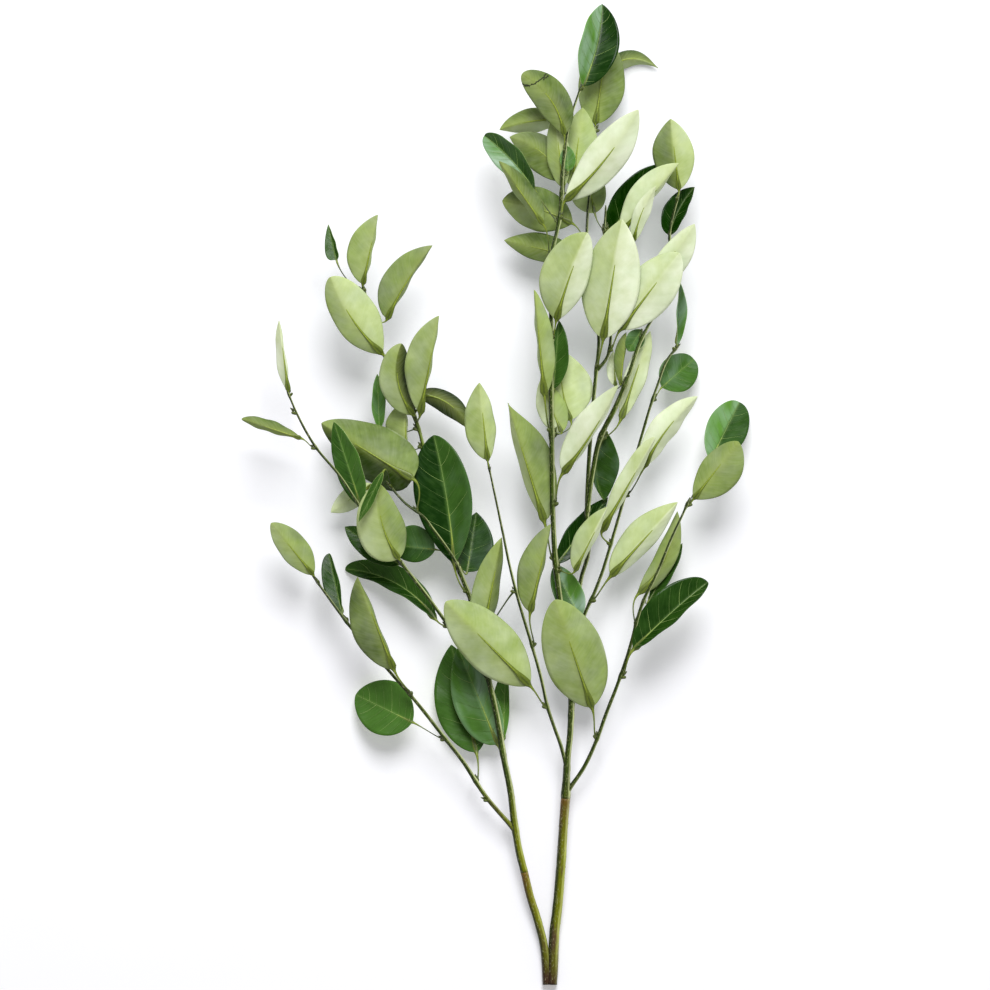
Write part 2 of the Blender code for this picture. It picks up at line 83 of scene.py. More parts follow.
TWIGS = (
    Twig("stem_left", None, None, (
        (22.1, -283.8, 11.3, 2.9), (19, -272, 12, 2.8), (14.5, -246, 15, 2.7), (11.5, -222, 18, 2.5),
        (7, -200, 21, 2.4), (1, -164, 24, 2.3), (-4, -142, 26, 2.2), (-12, -108, 29, 2.1),
        (-19, -77, 32, 2.0), (-28, -54, 34, 1.9))),
    Twig("stem_right", None, None, (
        (53.15, -227.8, 13.5, 3.2), (54.5, -200, 18, 2.5), (56.5, -180, 21, 2.4), (57.5, -155, 24, 2.4),
        (54, -120, 30, 2.3), (49, -80, 36, 2.3), (45.4, -50, 40, 2.2), (43.6, -19, 44, 2.1),
        (42.7, 34, 50, 2.1), (42.2, 73, 52, 2.0), (42.5, 118, 52, 1.9), (42.5, 180, 52, 1.8),
        (48, 205, 50, 1.7), (51.5, 250, 48, 1.5), (56, 280, 46, 1.3), (65, 308, 44, 1.0))),
    Twig("twig_inner", "stem_right", -166, (
        (60.5, -140, 23, 1.9), (62, -88, 30, 1.8), (65, -62, 32, 1.8), (70, -45, 33, 1.8),
        (69, -12, 34, 1.8), (71, 33, 38, 1.8), (75.5, 88, 42, 1.7), (78, 116, 42, 1.6), (72, 160, 38, 1.5),
        (69, 196, 34, 1.4), (73, 245, 28, 1.2), (75, 275, 28, 1.0))),
    Twig("twig_side", "twig_inner", 93, (
        (84, 103, 43, 1.5), (87, 120, 44, 1.4), (85, 160, 45, 1.3), (82, 196, 45, 1.2),
        (83, 214, 44, 1.0))),
    Twig("twig_upper_right", "twig_inner", -14, (
        (73, 15, 38, 2.0), (79, 43, 42, 2.1), (90, 65, 47, 2.1), (101, 92, 50, 1.9), (109, 115, 49, 1.7),
        (118, 132, 48, 1.4), (133, 150, 45, 1.3), (136, 160, 44, 1.3), (131, 193, 43, 1.2),
        (138, 227, 42, 1.0))),
    Twig("twig_right", "twig_inner", -124, (
        (67, -91, 27, 1.7), (75, -73, 28, 1.6), (80, -60, 28, 1.6), (88, -34, 30, 1.5), (96, -6, 31, 1.5),
        (109, 40, 31, 1.4), (122, 82, 30, 1.3), (131, 104, 29, 1.2), (137, 111, 28, 1.0))),
    Twig("twig_outer_right", "stem_right", -225, (
        (67, -205, 18, 1.8), (76.5, -184.5, 22, 1.7), (83.5, -165, 27, 1.7), (92.3, -142, 32, 1.6),
        (100, -119, 38, 1.6), (112, -78, 45, 1.5), (121, -60, 46, 1.4), (132.7, -32, 45, 1.3),
        (142, -12, 44, 1.1), (145, -5, 44, 1.0))),
    Twig("twig_middle", "stem_right", -205, (
        (48.7, -186, 21, 1.7), (44, -173, 24, 1.6), (39.7, -160, 27, 1.6), (35, -139, 32, 1.5),
        (28, -114, 38, 1.5), (18.4, -82, 45, 1.4), (11, -53, 50, 1.3), (5.8, -28, 54, 1.2),
        (-5, 23, 58, 0.9))),
    Twig("twig_upper_left", "stem_left", -54, (
        (-40, -20, 28, 1.7), (-50, 20, 28, 1.7), (-59, 55, 33, 1.6), (-75, 90, 38, 1.5),
        (-86, 110, 41, 1.4), (-97, 148, 44, 1.3), (-99.5, 158, 44, 1.1))),
    Twig("twig_spur", "stem_left", -58, (
        (-28.5, -52, 40.5, 1.4), (-38, -37, 43, 1.4), (-47, -25, 47, 1.4), (-53, -17, 49, 1.3),
        (-67, -6.5, 47, 1.2), (-80, 8, 44, 1.0))),
    Twig("twig_left", "stem_left", -138, (
        (-20, -118, 27, 1.8), (-35, -98, 31, 1.7), (-54, -72, 38, 1.6), (-71, -50, 43, 1.5),
        (-85, -32, 44, 1.5), (-98, -14, 46, 1.4), (-117, 15, 49, 1.3), (-134.5, 36, 49, 1.2),
        (-149, 62, 50, 1.1), (-155, 76, 50, 0.9))),
    Twig("twig_low_left", "stem_left", -253, (
        (-7.3, -226.5, 18, 1.9), (-25, -199.3, 23, 1.8), (-39, -181.3, 27, 1.7), (-58, -157, 31, 1.6),
        (-78, -134, 34, 1.5), (-108, -100, 36, 1.4), (-127, -74.5, 35, 1.2), (-136, -62, 34, 1.0))),
)

# The piece at the cut end forks into the left and the right stem.
BASE_LEGS = (
    ((39.2, -369.3, 3.3, 3.3), (38.2, -350, 4, 3.3), (36.6, -338.5, 5, 3.1), (31, -317, 7, 3.0),
     (26.6, -303, 9, 2.9), (22.2, -284.2, 11.25, 2.9)),
    ((43.2, -369.3, 3.8, 3.8), (43.9, -350, 4.5, 3.9), (44.8, -330, 5.6, 3.9), (47.2, -309, 7, 3.7),
     (50, -276, 10, 3.6), (51.7, -248, 12, 3.5), (53.1, -228.3, 13.4, 3.6)),
)

# How pale a leaf looks, partly its own tone and partly painted light and shade: from painted shadow, through
# the deepest green, to the palest whitish green.
PAINTED_SHADOW = -0.3
DARKEST = 0.0
SHADE = 0.12
DEEP = 0.22
DULL = 0.34
MODEST = 0.44
MIDDLE = 0.55
MILD = 0.65
PALE = 0.75
BRIGHT = 0.86
PALEST = 1.0

# How round a leaf's tip is: lower is rounder.
TAPERED = 1.35
POINTED = 0.84
BLUNT = 0.66
ROUND = 0.52

# A leaf's stalk leaves its twig at twig_y. base and tip are the ends of its midrib.
# left and right are its half widths in plan, looking from base to tip, and
# fall_left and fall_right how far each half falls towards its edge, in degrees.
# A leaf whose halves rise shows its glossy upper side; one whose halves fall shows
# its pale underside. widest is where along its length a leaf is widest. bow lifts
# the middle of the midrib and sweep moves it to the right, both as shares of its length.
# tone is how pale the leaf looks: partly its own tone and partly painted light and shade.
Leaf = namedtuple(
    "Leaf", "name twig twig_y base tip left right fall_left fall_right tone widest bow sweep end",
    defaults=(0.45, 0.03, 0.0, POINTED),
)

LEAVES = tuple(Leaf(*row) for row in (
    ("a1", "stem_right", 305, (66, 307, 45), (80.5, 369, 32), 12.8, 16.5, -48, -15, MILD, 0.48, 0.03, 0.05),
    ("a2", "twig_inner", 274, (75.5, 279, 28), (85, 345, 22), 17, 18, 22, 22, DEEP, 0.45, 0.04),
    ("a3", "twig_inner", 262, (82, 318, 18), (123, 322, 4), 7, 6, 40, 60, SHADE, 0.45, 0.02, -0.2, TAPERED),
    ("a4", "stem_right", 258, (52, 270, 52), (20, 315, 62), 12, 14, 25, 15, SHADE, 0.5, 0.03, 0.12, ROUND),
    ("a5", "stem_right", 278, (50, 282, 38), (3.5, 274.5, 34), 8, 10, 58, 15, MODEST, 0.45, 0.02, 0.05),
    ("a6", "stem_right", 221, (51, 236, 38), (11, 269, 33), 14, 13, 22, 5, DEEP, 0.45, 0.0, 0.12),
    ("a7", "stem_right", 227, (51, 231, 41), (45, 287, 42), 9.5, 8, 25, 15, MODEST),
    ("a8", "stem_right", 226, (58, 232, 37), (66, 291, 35), 14, 16, 22, 22, MIDDLE),
    ("a9", "stem_right", 208, (53, 221, 52), (107, 288, 78), 15.5, 14, 22, 25, PALEST, 0.5, 0.03, 0.045),
    ("a10", "stem_right", 240, (55, 243, 44), (54, 262, 43), 6, 6, -20, -20, PALEST, 0.45, 0.0, 0.0, BLUNT),
    ("b1", "stem_right", 205, (29.5, 229, 46), (-8, 270, 34), 11.5, 9, -20, -45,
     PALE, 0.52, 0.05, 0.045, ROUND),
    ("b2", "stem_right", 179, (36, 203, 58), (3, 250, 62), 4, 10, 65, 25, SHADE, 0.45, 0.02),
    ("b3", "twig_inner", 192, (58, 204, 38), (5.5, 221, 32), 16.5, 16, 22, 22, DEEP, 0.5, 0.03, 0.05, BLUNT),
    ("b4", "stem_right", 165, (60, 179, 36), (7, 191.5, 30), 9.5, 12, 25, 25, DEEP),
    ("b5", "stem_right", 118, (46, 131, 58), (69, 196, 78), 22, 14, 18, 25, PALE, 0.48, 0.03, -0.02, BLUNT),
    ("b6", "twig_inner", 97, (81, 117, 54), (95, 206, 77), 22.5, 21, 22, 20, PALE),
    ("b7", "twig_side", 109, (94, 124, 49.5), (138, 181, 65.5), 18, 18, 22, 16,
     BRIGHT, 0.5, 0.03, 0.0, BLUNT),
    ("b8", "twig_upper_right", 138, (112, 150, 49), (149.5, 203, 61), 9, 14, 22, 22, PALEST, 0.5),
    ("c1", "twig_side", 192, (82.5, 193, 38), (128, 249, 34), 15.5, 10, -25, -25, DARKEST, 0.5, 0.0),
    ("c2", "twig_side", 200, (94, 196, 46), (137.5, 248.5, 60), 15.5, 2, 15, 75, BRIGHT, 0.52),
    ("c3", "twig_side", 198, (104, 190, 55), (120, 231, 66), 6, 6, 25, 45, PALEST, 0.45, 0.03, -0.05),
    ("c4", "twig_upper_right", 222, (138, 229, 45), (131.7, 282, 52), 16.5, 14.5, 32, 15, DULL, 0.48),
    ("c5", "twig_upper_right", 193, (131, 195, 38), (150, 231.5, 30), 11, 6, -20, -45,
     DARKEST, 0.4, 0.0, -0.06),
    ("c6", "twig_right", 109, (137, 113, 29), (138.5, 161, 38), 1, 6.5, -75, -40, PALEST, 0.5, -0.03),
    ("c7", "twig_right", 72, (125.5, 81, 26), (149.7, 102.5, 8), 14, 14.5, -15, -15,
     MODEST, 0.45, 0.0, 0.0, ROUND),
    ("d1", "twig_side", 199, (75, 212, 31), (67, 250, 21), 15, 12, 20, 20, MIDDLE),
    ("e1", "stem_right", 44, (57, 56, 41), (50, 108, 39), 17, 23, 12, 15, PALE, 0.45, 0.0, -0.06, BLUNT),
    ("e8", "stem_right", 46, (50, 47, 49), (34, 86, 40), 11, 11, 22, 15, MIDDLE),
    ("e2", "stem_right", -7, (51, 16.5, 54), (92, 82, 80), 16, 2.5, 20, 78, PALEST, 0.42, 0.03, 0.03),
    ("e3", "twig_upper_right", 46, (84, 47, 38), (82, -4, 20), 17.5, 3, -12, -45,
     SHADE, 0.45, 0.0, 0.13, BLUNT),
    ("e4", "twig_upper_right", 43, (94.5, 57, 42), (116.5, 123, 39), 8, 8.5, 35, 35, BRIGHT, 0.5, 0.0),
    ("e5", "twig_upper_right", 83, (94, 83, 45), (98.5, 122, 45), 7, 1, 20, 75, SHADE, 0.55, 0.0),
    ("e6", "twig_upper_right", 83, (90.5, 82, 36), (89, 108, 36), 6, 1.5, 20, 60, PALEST, 0.45, 0.0),
    ("e7", "twig_upper_right", 118, (110, 124, 45), (100, 108, 43), 7, 7, -15, -25,
     MILD, 0.45, 0.0, 0.0, BLUNT),
    ("f1", "twig_right", 0, (112, 21, 34), (152, 74, 44), 12.5, 7, 20, 50, PALEST, 0.45, 0.03, -0.05),
    ("f2", "twig_right", -37, (80.5, -27, 36), (120, 43, 54), 9.5, 3, 20, 65, PALEST, 0.55, 0.03, 0.0, ROUND),
    ("f3", "twig_right", -79, (87, -61, 34), (137, -5.5, 42), 15, 8, 35, 35, PALEST),
    ("f4", "twig_outer_right", -97, (108, -74, 34), (137, -12.5, 34), 8, 8, 25, 25, DULL, 0.45, 0.0, 0.1),
    ("f5", "twig_outer_right", -80, (116, -79, 29.5), (141, -36.5, 18), 5, 6, -35, -35, DEEP, 0.45, 0.0),
    ("f6", "twig_outer_right", -136, (104, -116, 40), (160, -65.5, 36), 18, 6.7, -12, -54,
     PALEST, 0.52, 0.03, -0.02, ROUND),
    ("g1", "twig_outer_right", -8, (162, 26, 30), (184.5, 70, 0.5), 15, 16, -15, -15,
     MODEST, 0.5, 0.0, 0.0, ROUND),
    ("g2", "twig_outer_right", -7, (149, -3, 44), (182.6, 40, 50), 12, 18.3, 22, 15,
     DULL, 0.52, 0.03, 0.0, BLUNT),
    ("h1", "stem_right", 48, (37, 75, 58), (29.4, 153.5, 72), 2, 11, 80, 20, MODEST),
    ("h2", "stem_right", 76, (44, 80, 47), (48, 131, 46), 4, 9.5, -25, -25, DULL, 0.45, 0.0),
    ("h3", "stem_right", -48, (37, -20, 42), (9.7, 69, 54), 6, 20.5, 60, 18, MODEST, 0.46, 0.0, 0.0, TAPERED),
    ("h4", "twig_middle", -113, (26.5, -88, 46), (41.6, -22, 56), 16.5, 2, 20, 75, DULL),
    ("h5", "stem_right", -52, (47, -51, 34), (85, -2, 14), 10, 8, -30, -20, DARKEST, 0.42, 0.0),
    ("h6", "stem_right", -105, (64, -92, 34), (45, -53, 26), 11, 11, -20, -20, MILD, 0.45, 0.0, 0.0, BLUNT),
    ("h7", "stem_right", -57, (60, -57, 48), (84, -9, 56), 12, 3.5, 20, 65, PALEST),
    ("j1", "twig_outer_right", -183, (73, -160, 28), (45, -78.5, 56), 22.8, 23.3, 20, 20,
     DULL, 0.45, 0.03, 0.0, BLUNT),
    ("k1", "twig_middle", -159, (26, -143, 36), (-37, -80, 56), 20, 21, 20, 20, MILD, 0.48, 0.03, 0.0, BLUNT),
    ("k2", "twig_middle", -72, (-8, -99, 40), (5, -32, 52), 14.5, 6, 20, 55, MIDDLE, 0.35, 0.0),
    ("m1", "twig_middle", 20, (-5.5, 26, 60), (-11.7, 84, 66), 14.5, 8.5, 20, 40, MIDDLE),
    ("n1", "twig_upper_left", 152, (-119, 176.5, 44), (-125.2, 203, 38), 7, 2.5, -10, -60, DULL, 0.22, 0.0),
    ("n2", "twig_upper_left", 153, (-99, 158, 46), (-88, 210, 56), 17, 2, 15, 75, MIDDLE),
    ("n3", "twig_upper_left", 128, (-81, 132, 42), (-47, 187, 54), 17.7, 2, 20, 75, DULL, 0.42, 0.03, -0.03),
    ("n4", "twig_upper_left", 98, (-84.6, 106, 46), (-123, 163.5, 58), 13.2, 20, 25, 15,
     MIDDLE, 0.5, 0.03, -0.06, ROUND),
    ("n5", "twig_upper_left", 60, (-61, 60, 42), (-70, 113.5, 58), 14, 11, 20, 40,
     MIDDLE, 0.5, 0.03, -0.13, BLUNT),
    ("n6", "twig_upper_left", 56, (-56, 61, 50), (-42, 134, 74), 18.5, 1.5, 15, 78, MIDDLE, 0.52),
    ("n7", "twig_upper_left", 50, (-87, 50, 26), (-88.6, 91, 26), 5, 5.5, -40, -40, PALEST, 0.45, 0.0),
    ("n8", "twig_left", 75, (-155, 78, 50), (-162, 131, 48), 6, 1.5, 50, 75, PALEST),
    ("n9", "twig_left", 36, (-145.4, 42.5, 48), (-190, 57, 50), 3, 6, 50, 45, SHADE, 0.55, 0.03, 0.0, ROUND),
    ("n10", "twig_left", -6, (-100.6, -8, 40), (-121, 55, 40), 10, 10, -15, -40, DARKEST, 0.45, 0.0),
    ("n11", "twig_spur", -12, (-61.5, 12, 48), (-130.5, 54, 27), 19, 23.3, 38, 18,
     DEEP, 0.34, 0.03, 0.0, BLUNT),
    ("n12", "twig_left", -20, (-92, 8, 29), (-123.5, -13, 24), 8, 8.5, 20, 20, BRIGHT, 0.5, 0.0),
    ("n13", "twig_upper_left", 36, (-67, 34, 32), (-67.5, 70, 38), 15, 1.5, 30, 75, BRIGHT, 0.45, 0.0),
    ("n14", "stem_left", -72, (-30.6, -52, 36.2), (-46, 45, 34), 24, 19, -10, -22,
     MIDDLE, 0.55, 0.0, 0.022, BLUNT),
    ("n15", "twig_upper_left", -40, (-21, -58, 28), (-14, -13, 18), 12, 17, -12, -12, SHADE, 0.4, 0.0),
    ("n16", "twig_left", -50, (-72, -48, 49), (-87, 8.5, 59), 20, 16, 18, 18, MILD, 0.4, 0.03, -0.09, BLUNT),
    ("n17", "twig_spur", 6, (-84, 17, 63), (-102, -20, 60), 3.5, 4, -50, -30, MODEST, 0.45, 0.0),
    ("n18", "twig_left", -52, (-72, -52, 38), (-113, -24, 22), 10.5, 10.5, -20, -20, DEEP, 0.45, 0.0),
    ("n19", "twig_left", -98, (-45, -93, 30), (-113, -56, 1), 6.3, 12.5, -47, -20,
     DULL, 0.5, 0.0, 0.11, ROUND),
    ("n20", "twig_upper_left", -44, (-45, -41, 30), (-80, -37, 18), 11.5, 16.5, -12, -12, DEEP, 0.45, 0.0),
    ("n21", "twig_upper_left", 62, (-58, 76, 36), (-19.5, 49.5, 40), 8, 8.5, 30, 25,
     PAINTED_SHADOW, 0.45, 0.0, -0.15),
    ("q1", "twig_low_left", -66, (-136.5, -60, 36.5), (-168, -21, 46), 9.5, 12, 22, 18,
     DULL, 0.48, 0.03, 0.0, BLUNT),
    ("q2", "twig_low_left", -95, (-115, -89, 34), (-125, -44, 20), 9.5, 3, -15, -50,
     DULL, 0.52, 0.0, 0.0, ROUND),
    ("q3", "twig_low_left", -150, (-76, -131, 40), (-103, -61.5, 54), 19, 2, 22, 75, DEEP),
    ("q4", "twig_low_left", -183, (-62, -171, 24), (-105, -150.5, 6), 20, 22, -12, -12,
     PALEST, 0.45, 0.0, 0.0, BLUNT),
    ("q5", "twig_low_left", -216, (-14, -194, 12), (-33, -113, 3), 22.5, 16, -8, -8, MODEST, 0.45, 0.0),
    ("q6", "stem_left", -195, (2, -188, 16), (-28, -115, 11), 19.5, 13, -14, -14, MIDDLE, 0.42, 0.0),
    ("q7", "stem_left", -190, (6, -185, 12), (8, -130, 8), 9, 4, -20, -20, PALEST, 0.45, 0.0),
))

# Leaves whose two halves differ in tone, partly their own and mostly painted light and shade where one half
# faces the lamps and the other faces away or lies in a cast shadow: the left half's and the right half's
LIT_AND_SHADED_HALVES = {
    "a1": (PALEST, DARKEST), "a2": (MODEST, DEEP), "a3": (DARKEST, MIDDLE), "a4": (DULL, SHADE),
    "a5": (PALE, DEEP), "a7": (MODEST, PALE), "b1": (PALEST, DULL), "b2": (DULL, SHADE),
    "b3": (MODEST, SHADE), "b4": (DEEP, SHADE), "b5": (MILD, PALEST), "b6": (PALE, PALEST),
    "b7": (BRIGHT, PALEST), "c4": (DULL, MILD), "d1": (MILD, DULL), "e8": (BRIGHT, MODEST),
    "e3": (DULL, DULL), "e4": (PALEST, BRIGHT), "f2": (BRIGHT, PALEST), "f3": (PALE, PALEST),
    "f6": (SHADE, SHADE), "g1": (PALEST, DEEP), "h3": (PALE, DULL), "h6": (DULL, PALEST), "h7": (MILD, PALEST),
    "j1": (MIDDLE, MODEST), "k1": (MILD, MIDDLE), "k2": (MIDDLE, DEEP), "m1": (MIDDLE, MILD),
    "n4": (MIDDLE, MILD), "n5": (MIDDLE, PAINTED_SHADOW), "n9": (DULL, SHADE), "n10": (DEEP, MILD),
    "n11": (DARKEST, DEEP), "n13": (MIDDLE, MILD), "n14": (DARKEST, DULL), "n16": (MILD, DULL),
    "n19": (SHADE, DULL), "n20": (DEEP, MIDDLE), "q1": (MIDDLE, DULL), "q2": (SHADE, DEEP),
    "q4": (MIDDLE, MILD), "q6": (MIDDLE, PALEST),
}

# How much painted sheen, a pale bluish painted highlight in soft streaks, a glossy side has, on its left and
# its right half
PAINTED_SHEENS = {
    "a1": (1.8, 0.0), "a10": (1.0, 1.0), "b1": (2.2, 0.2), "c6": (1.8, 1.8), "c7": (0.6, 0.4),
    "e3": (0.7, 1.5), "e7": (0.5, 0.5), "g1": (0.9, 0.1), "h6": (0.2, 2.3), "n7": (0.7, 0.7),
    "n14": (0.0, 0.3), "n15": (0.2, 0.3), "n20": (0.1, 0.4), "q6": (0.7, 1.7),
}

# The leaf with a dry crack across it: each line's first and last place across, from
# edge to edge, and how far along it is moved
CRACKED = "a4"
CRACKS = ((-0.97, 0.97, 0.0), (-0.85, -0.45, -0.02), (0.5, 0.9, -0.022))
CRACK_PLACE = 0.8
CRACK_SLOPE = 0.09
CRACK_JITTER = 0.008
CRACK_SLANT = 0.92
CRACK_STEPS = 18
CRACK_RADII = (0.25, 0.6)

# The outline and the stalks, as the solids have them
TIP_HALF_WIDTH = 0.4
BASE_FULLNESS = 0.74
STALK_PULL = 0.42

# Blade mesh. Its rows slant towards the tip as the side veins do. Each half has waves
# along its edge and a cup between edge and midrib, drawn at random between two bounds.
ROWS = 41
COLUMNS = 16
ROWS_TO_A_VEIN = 4
VEIN_SLANT = 0.85
SLANT_CURVE = 1.15
ROW_CROWDING = 0.6
CROSS_CURVE = 1.15
WAVES = (1.6, 2.8)
CUPS = (-0.25, 0.3)
EDGE_THINNING = 0.55
RELIEF_FADE = 2.5
UV_SPAN = 50.0
FLOOR_CLEARANCE = 0.25

# Lines on a blade: how far along and across the places are that its slope is read
# between, how far the lines reach, how thin they end and how pale they are. One side
# vein in three is plainer, so wider and paler, and all are paler on a paler leaf.
SLOPE_STEPS = (0.01, 0.02)
MIDRIB_STEPS = 24
MIDRIB_REACH = 0.97
MIDRIB_END = 0.35
MIDRIB_PALENESS = 0.55
VEIN_STEPS = 6
VEIN_START = 0.02
VEIN_REACH = 0.84
VEIN_END = 0.3
PLAIN_VEIN = 0.45
PLAIN_STEP = 3
TONE_PALENESS = 0.45
RIB_SIDES = 5

# The raised midrib: its half width and half height in mm along a leaf of MIDRIB_LEAF mm, by
# share of the blade's length. The groove parts it into two ridges near its base. Longer
# and shorter leaves have thicker and thinner ones, between two bounds.
MIDRIB_LEAF = 65.0
MIDRIB_SIZES = (0.6, 1.2)
VEIN_SIZES = (0.6, 1.15)
MIDRIB = ((0.0, 1.4, 0.9), (0.03, 2.6, 1.05), (0.08, 2.5, 1.0), (0.14, 1.75, 0.9), (0.2, 1.15, 0.78),
          (0.3, 0.78, 0.6), (0.45, 0.55, 0.42), (0.6, 0.32, 0.24), (0.71, 0.06, 0.04))
MIDRIB_SIDES = 14
MIDRIB_RINGS = 22
MIDRIB_RISE = 0.45
GROOVE_DEPTH = 0.55
GROOVE_END = 0.17
GROOVE_WIDTH = 0.42

# The stalk: its radius in mm by share of its length, how far it reaches out of its twig in
# mm before it bends, how much of that is along the twig, and how deep in the twig it
# starts, as a share of the twig's radius
STALK = ((0.0, 1.1), (0.1, 0.76), (0.3, 0.52), (0.55, 0.47), (0.8, 0.58), (0.95, 1.0))
STALK_REACH = 3.4
STALK_LIFT = 0.35
STALK_DEPTH = 0.6
STALK_SPACING = 1.4
FEWEST_STALK_STEPS = 10
THINNEST_STALK = 0.8

# Bark mesh. A twig has a collar where it leaves its parent, and stays inside the parent
# until it is out of it. The bark swells for NODE_LENGTH mm round each leaf or side twig.
RING_SPACING = 2.2
BARK_SIDES = 16
STEM_STEPS = 8
NODE_LENGTH = 2.4
COLLAR = 0.4
COLLAR_LENGTH = 3.5
INSIDE_PARENT = 0.85
SEED_STEP = 7.3

# The bark's unevenness. Dents: how many round the stem, how long in mm and how deep as a
# share of the radius. Ridges that wind along it: how many, how slowly and how high.
DENTS = (1.6, 9.0, 0.06)
RIDGES = (5, 17.0, 0.025)

# The bud at a thin twig's tip: how far past it in mm, and the share of its radius there
TIP_BUD = ((1.4, 0.92), (2.8, 0.62), (3.8, 0.22))
THICKEST_TIP = 1.5

# The bark's colours: the way from which light is painted on it, for a painted highlight on the side that
# faces it and painted shade on the other, the heights where it starts to look old and looks oldest, where a
# brown scar is on each leg of the base and how far it fades towards the cut end, and the one twig with paler,
# greener bark
PAINTED_LIGHT_WAY = Vector((0.94, 0.0, 0.34))
OLD_WOOD_Y = (-215.0, -365.0)
SCARS = (-284.2, -228.3)
SCAR_LENGTH = 18.0
PALER_TWIG = "bark_twig_upper_left"
PALER_TWIG_SHARE = 0.5

# A bud and a knob one unit long: height and radius. Steps out and in are the scales' edges.
BUD = ((0.0, 0.16), (0.1, 0.24), (0.28, 0.29), (0.5, 0.26), (0.52, 0.22), (0.72, 0.16), (0.9, 0.08),
       (1.0, 0.02))
KNOB = ((0.0, 0.2), (0.15, 0.27), (0.4, 0.3), (0.55, 0.27), (0.57, 0.31), (0.74, 0.29), (0.78, 0.24),
        (0.8, 0.27), (0.93, 0.22), (1.0, 0.1))
BUD_SIDES = 12
BUD_FLATNESS = 0.85

# Where they sit: out from the twig's middle as a share of its radius, and along it in mm
BUD_OUT = 0.7
BUD_GAP = 0.5
BUD_UP = 1.6
KNOB_OUT = 0.35
KNOB_DOWN = 1.1

# How far they lean from the twig or towards its tip, and how much their sizes differ
BUD_LEANS = (0.25, 0.7)
BUD_SIZES = (0.65, 1.1)
KNOB_LEANS = (0.5, 0.9)
KNOB_SIZES = (0.8, 1.15)
KNOB_GIRTH = 0.5

# Where a twig has a knob but no leaf: the twig, the height and the way out from it
BARE_KNOBS = (("twig_left", 62.0, (-1.0, 0.2, 0.3)), ("twig_low_left", -229.0, (-1.0, -0.3, 0.4)))
BARE_KNOB_REACH = 20.0

# The bark's radius for the solid's radius, in mm: thin twigs are slimmer than their solids
SLIMMING = ((0.9, 0.7), (1.3, 1.0), (1.7, 1.42), (2.1, 1.92), (2.5, 2.5), (4.0, 4.0))

# Raised spots on the bark: their shape, and how much they differ in size
SPOT_SHAPE = (0.42, 1.0, 0.3)
SPOT_SIZES = (0.5, 1.2)
SPOT_SEED = 4

# The seeds of the random draws for the buds, the leaves and the crack
BUD_SEED = 11
LEAF_SEED = 7
CRACK_SEED = 3
LEAF_SHIFTS = (0.0, 20.0)

# The stage, in metres: half the floor's width, and each lamp's place, size and power
FLOOR_REACH = 8.0
WORLD_LIGHT = 0.3
KEY_LIGHT = ("key_light", (0.3, 2.4, 3.0), 2.0, 150.0)
RIGHT_LIGHT = ("right_light", (2.7, 0.5, 1.35), 0.9, 16.0)
CAMERA_RANGE = 40.0


def fill(tree, node, inputs):
    """Gives a node's sockets their values, or the outputs that they are linked to."""
    for socket, value in inputs.items():
        if isinstance(value, bpy.types.NodeSocket):
            tree.links.new(value, node.inputs[socket])
        else:
            node.inputs[socket].default_value = value


def add(tree, kind, inputs=None, **settings):
    """Adds a node with these inputs and settings to a tree."""
    node = tree.nodes.new(kind)
    for name, value in settings.items():
        setattr(node, name, value)
    fill(tree, node, inputs or {})
    return node


def linear(code):
    """An sRGB hex colour as linear red, green, blue and alpha."""
    parts = [int(code[i:i + 2], 16) / 255 for i in (1, 3, 5)]
    return (*(c / 12.92 if c <= 0.04045 else ((c + 0.055) / 1.055) ** 2.4 for c in parts), 1.0)


def start_material(name):
    made = bpy.data.materials.new(name)
    made.use_nodes = True
    made.node_tree.nodes.clear()
    return made, made.node_tree


def finish_material(made, inputs):
    """Ends a material with a shader that has these inputs."""
    shader = add(made.node_tree, "ShaderNodeBsdfPrincipled", inputs)
    add(made.node_tree, "ShaderNodeOutputMaterial", {"Surface": shader.outputs["BSDF"]})
    return made


def told(tree, name, output="Fac"):
    """What the mesh says of this place under this name."""
    return add(tree, "ShaderNodeAttribute", attribute_name=name).outputs[output]


def maths(tree, operation, first, second=0.0):
    return add(tree, "ShaderNodeMath", {0: first, 1: second}, operation=operation).outputs[0]


def ramp(tree, value, low, high, first=0.0, last=1.0):
    """value from low to high as a share from first to last, held at both ends."""
    return add(tree, "ShaderNodeMapRange", {
        "Value": value, "From Min": low, "From Max": high, "To Min": first, "To Max": last,
    }).outputs["Result"]


def blend_colours(tree, share, first, second, kind="MIX"):
    """The colour between two others, by share. Each may be a hex code, a setting or an output."""
    first, second = [linear(c) if isinstance(c, str) else c for c in (first, second)]
    sockets = {0: share, 6: first, 7: second}
    return add(tree, "ShaderNodeMix", sockets, data_type="RGBA", blend_type=kind).outputs[2]


def layered(tree, colour, *layers):
    """A colour with others laid over it. Each layer is the colour and the ramp that gives its share."""
    for over, *measures in layers:
        colour = blend_colours(tree, ramp(tree, *measures), colour, over)
    return colour


def leaf_places(tree):
    """A place's UV across and along its leaf, and how far it is from the midrib in mm."""
    uv = add(tree, "ShaderNodeUVMap", uv_map="leaf").outputs["UV"]
    across, along, _ = add(tree, "ShaderNodeSeparateXYZ", {"Vector": uv}).outputs
    off_middle = maths(tree, "ABSOLUTE", maths(tree, "SUBTRACT", across, 0.5))
    return across, along, maths(tree, "MULTIPLY", off_middle, UV_SPAN)


def noise_at(tree, place, scale, detail):
    return add(tree, "ShaderNodeTexNoise", {"Vector": place, "Scale": scale, "Detail": detail}).outputs["Fac"]


def mottle(tree, size_mm, detail=3.0, seed=0.0):
    """Noise whose blotches are size_mm across."""
    place = add(tree, "ShaderNodeTexCoord").outputs["Object"]
    moved = add(tree, "ShaderNodeMapping", {"Vector": place, "Location": (seed, seed, seed)})
    return noise_at(tree, moved.outputs["Vector"], 1 / (size_mm * MM), detail)


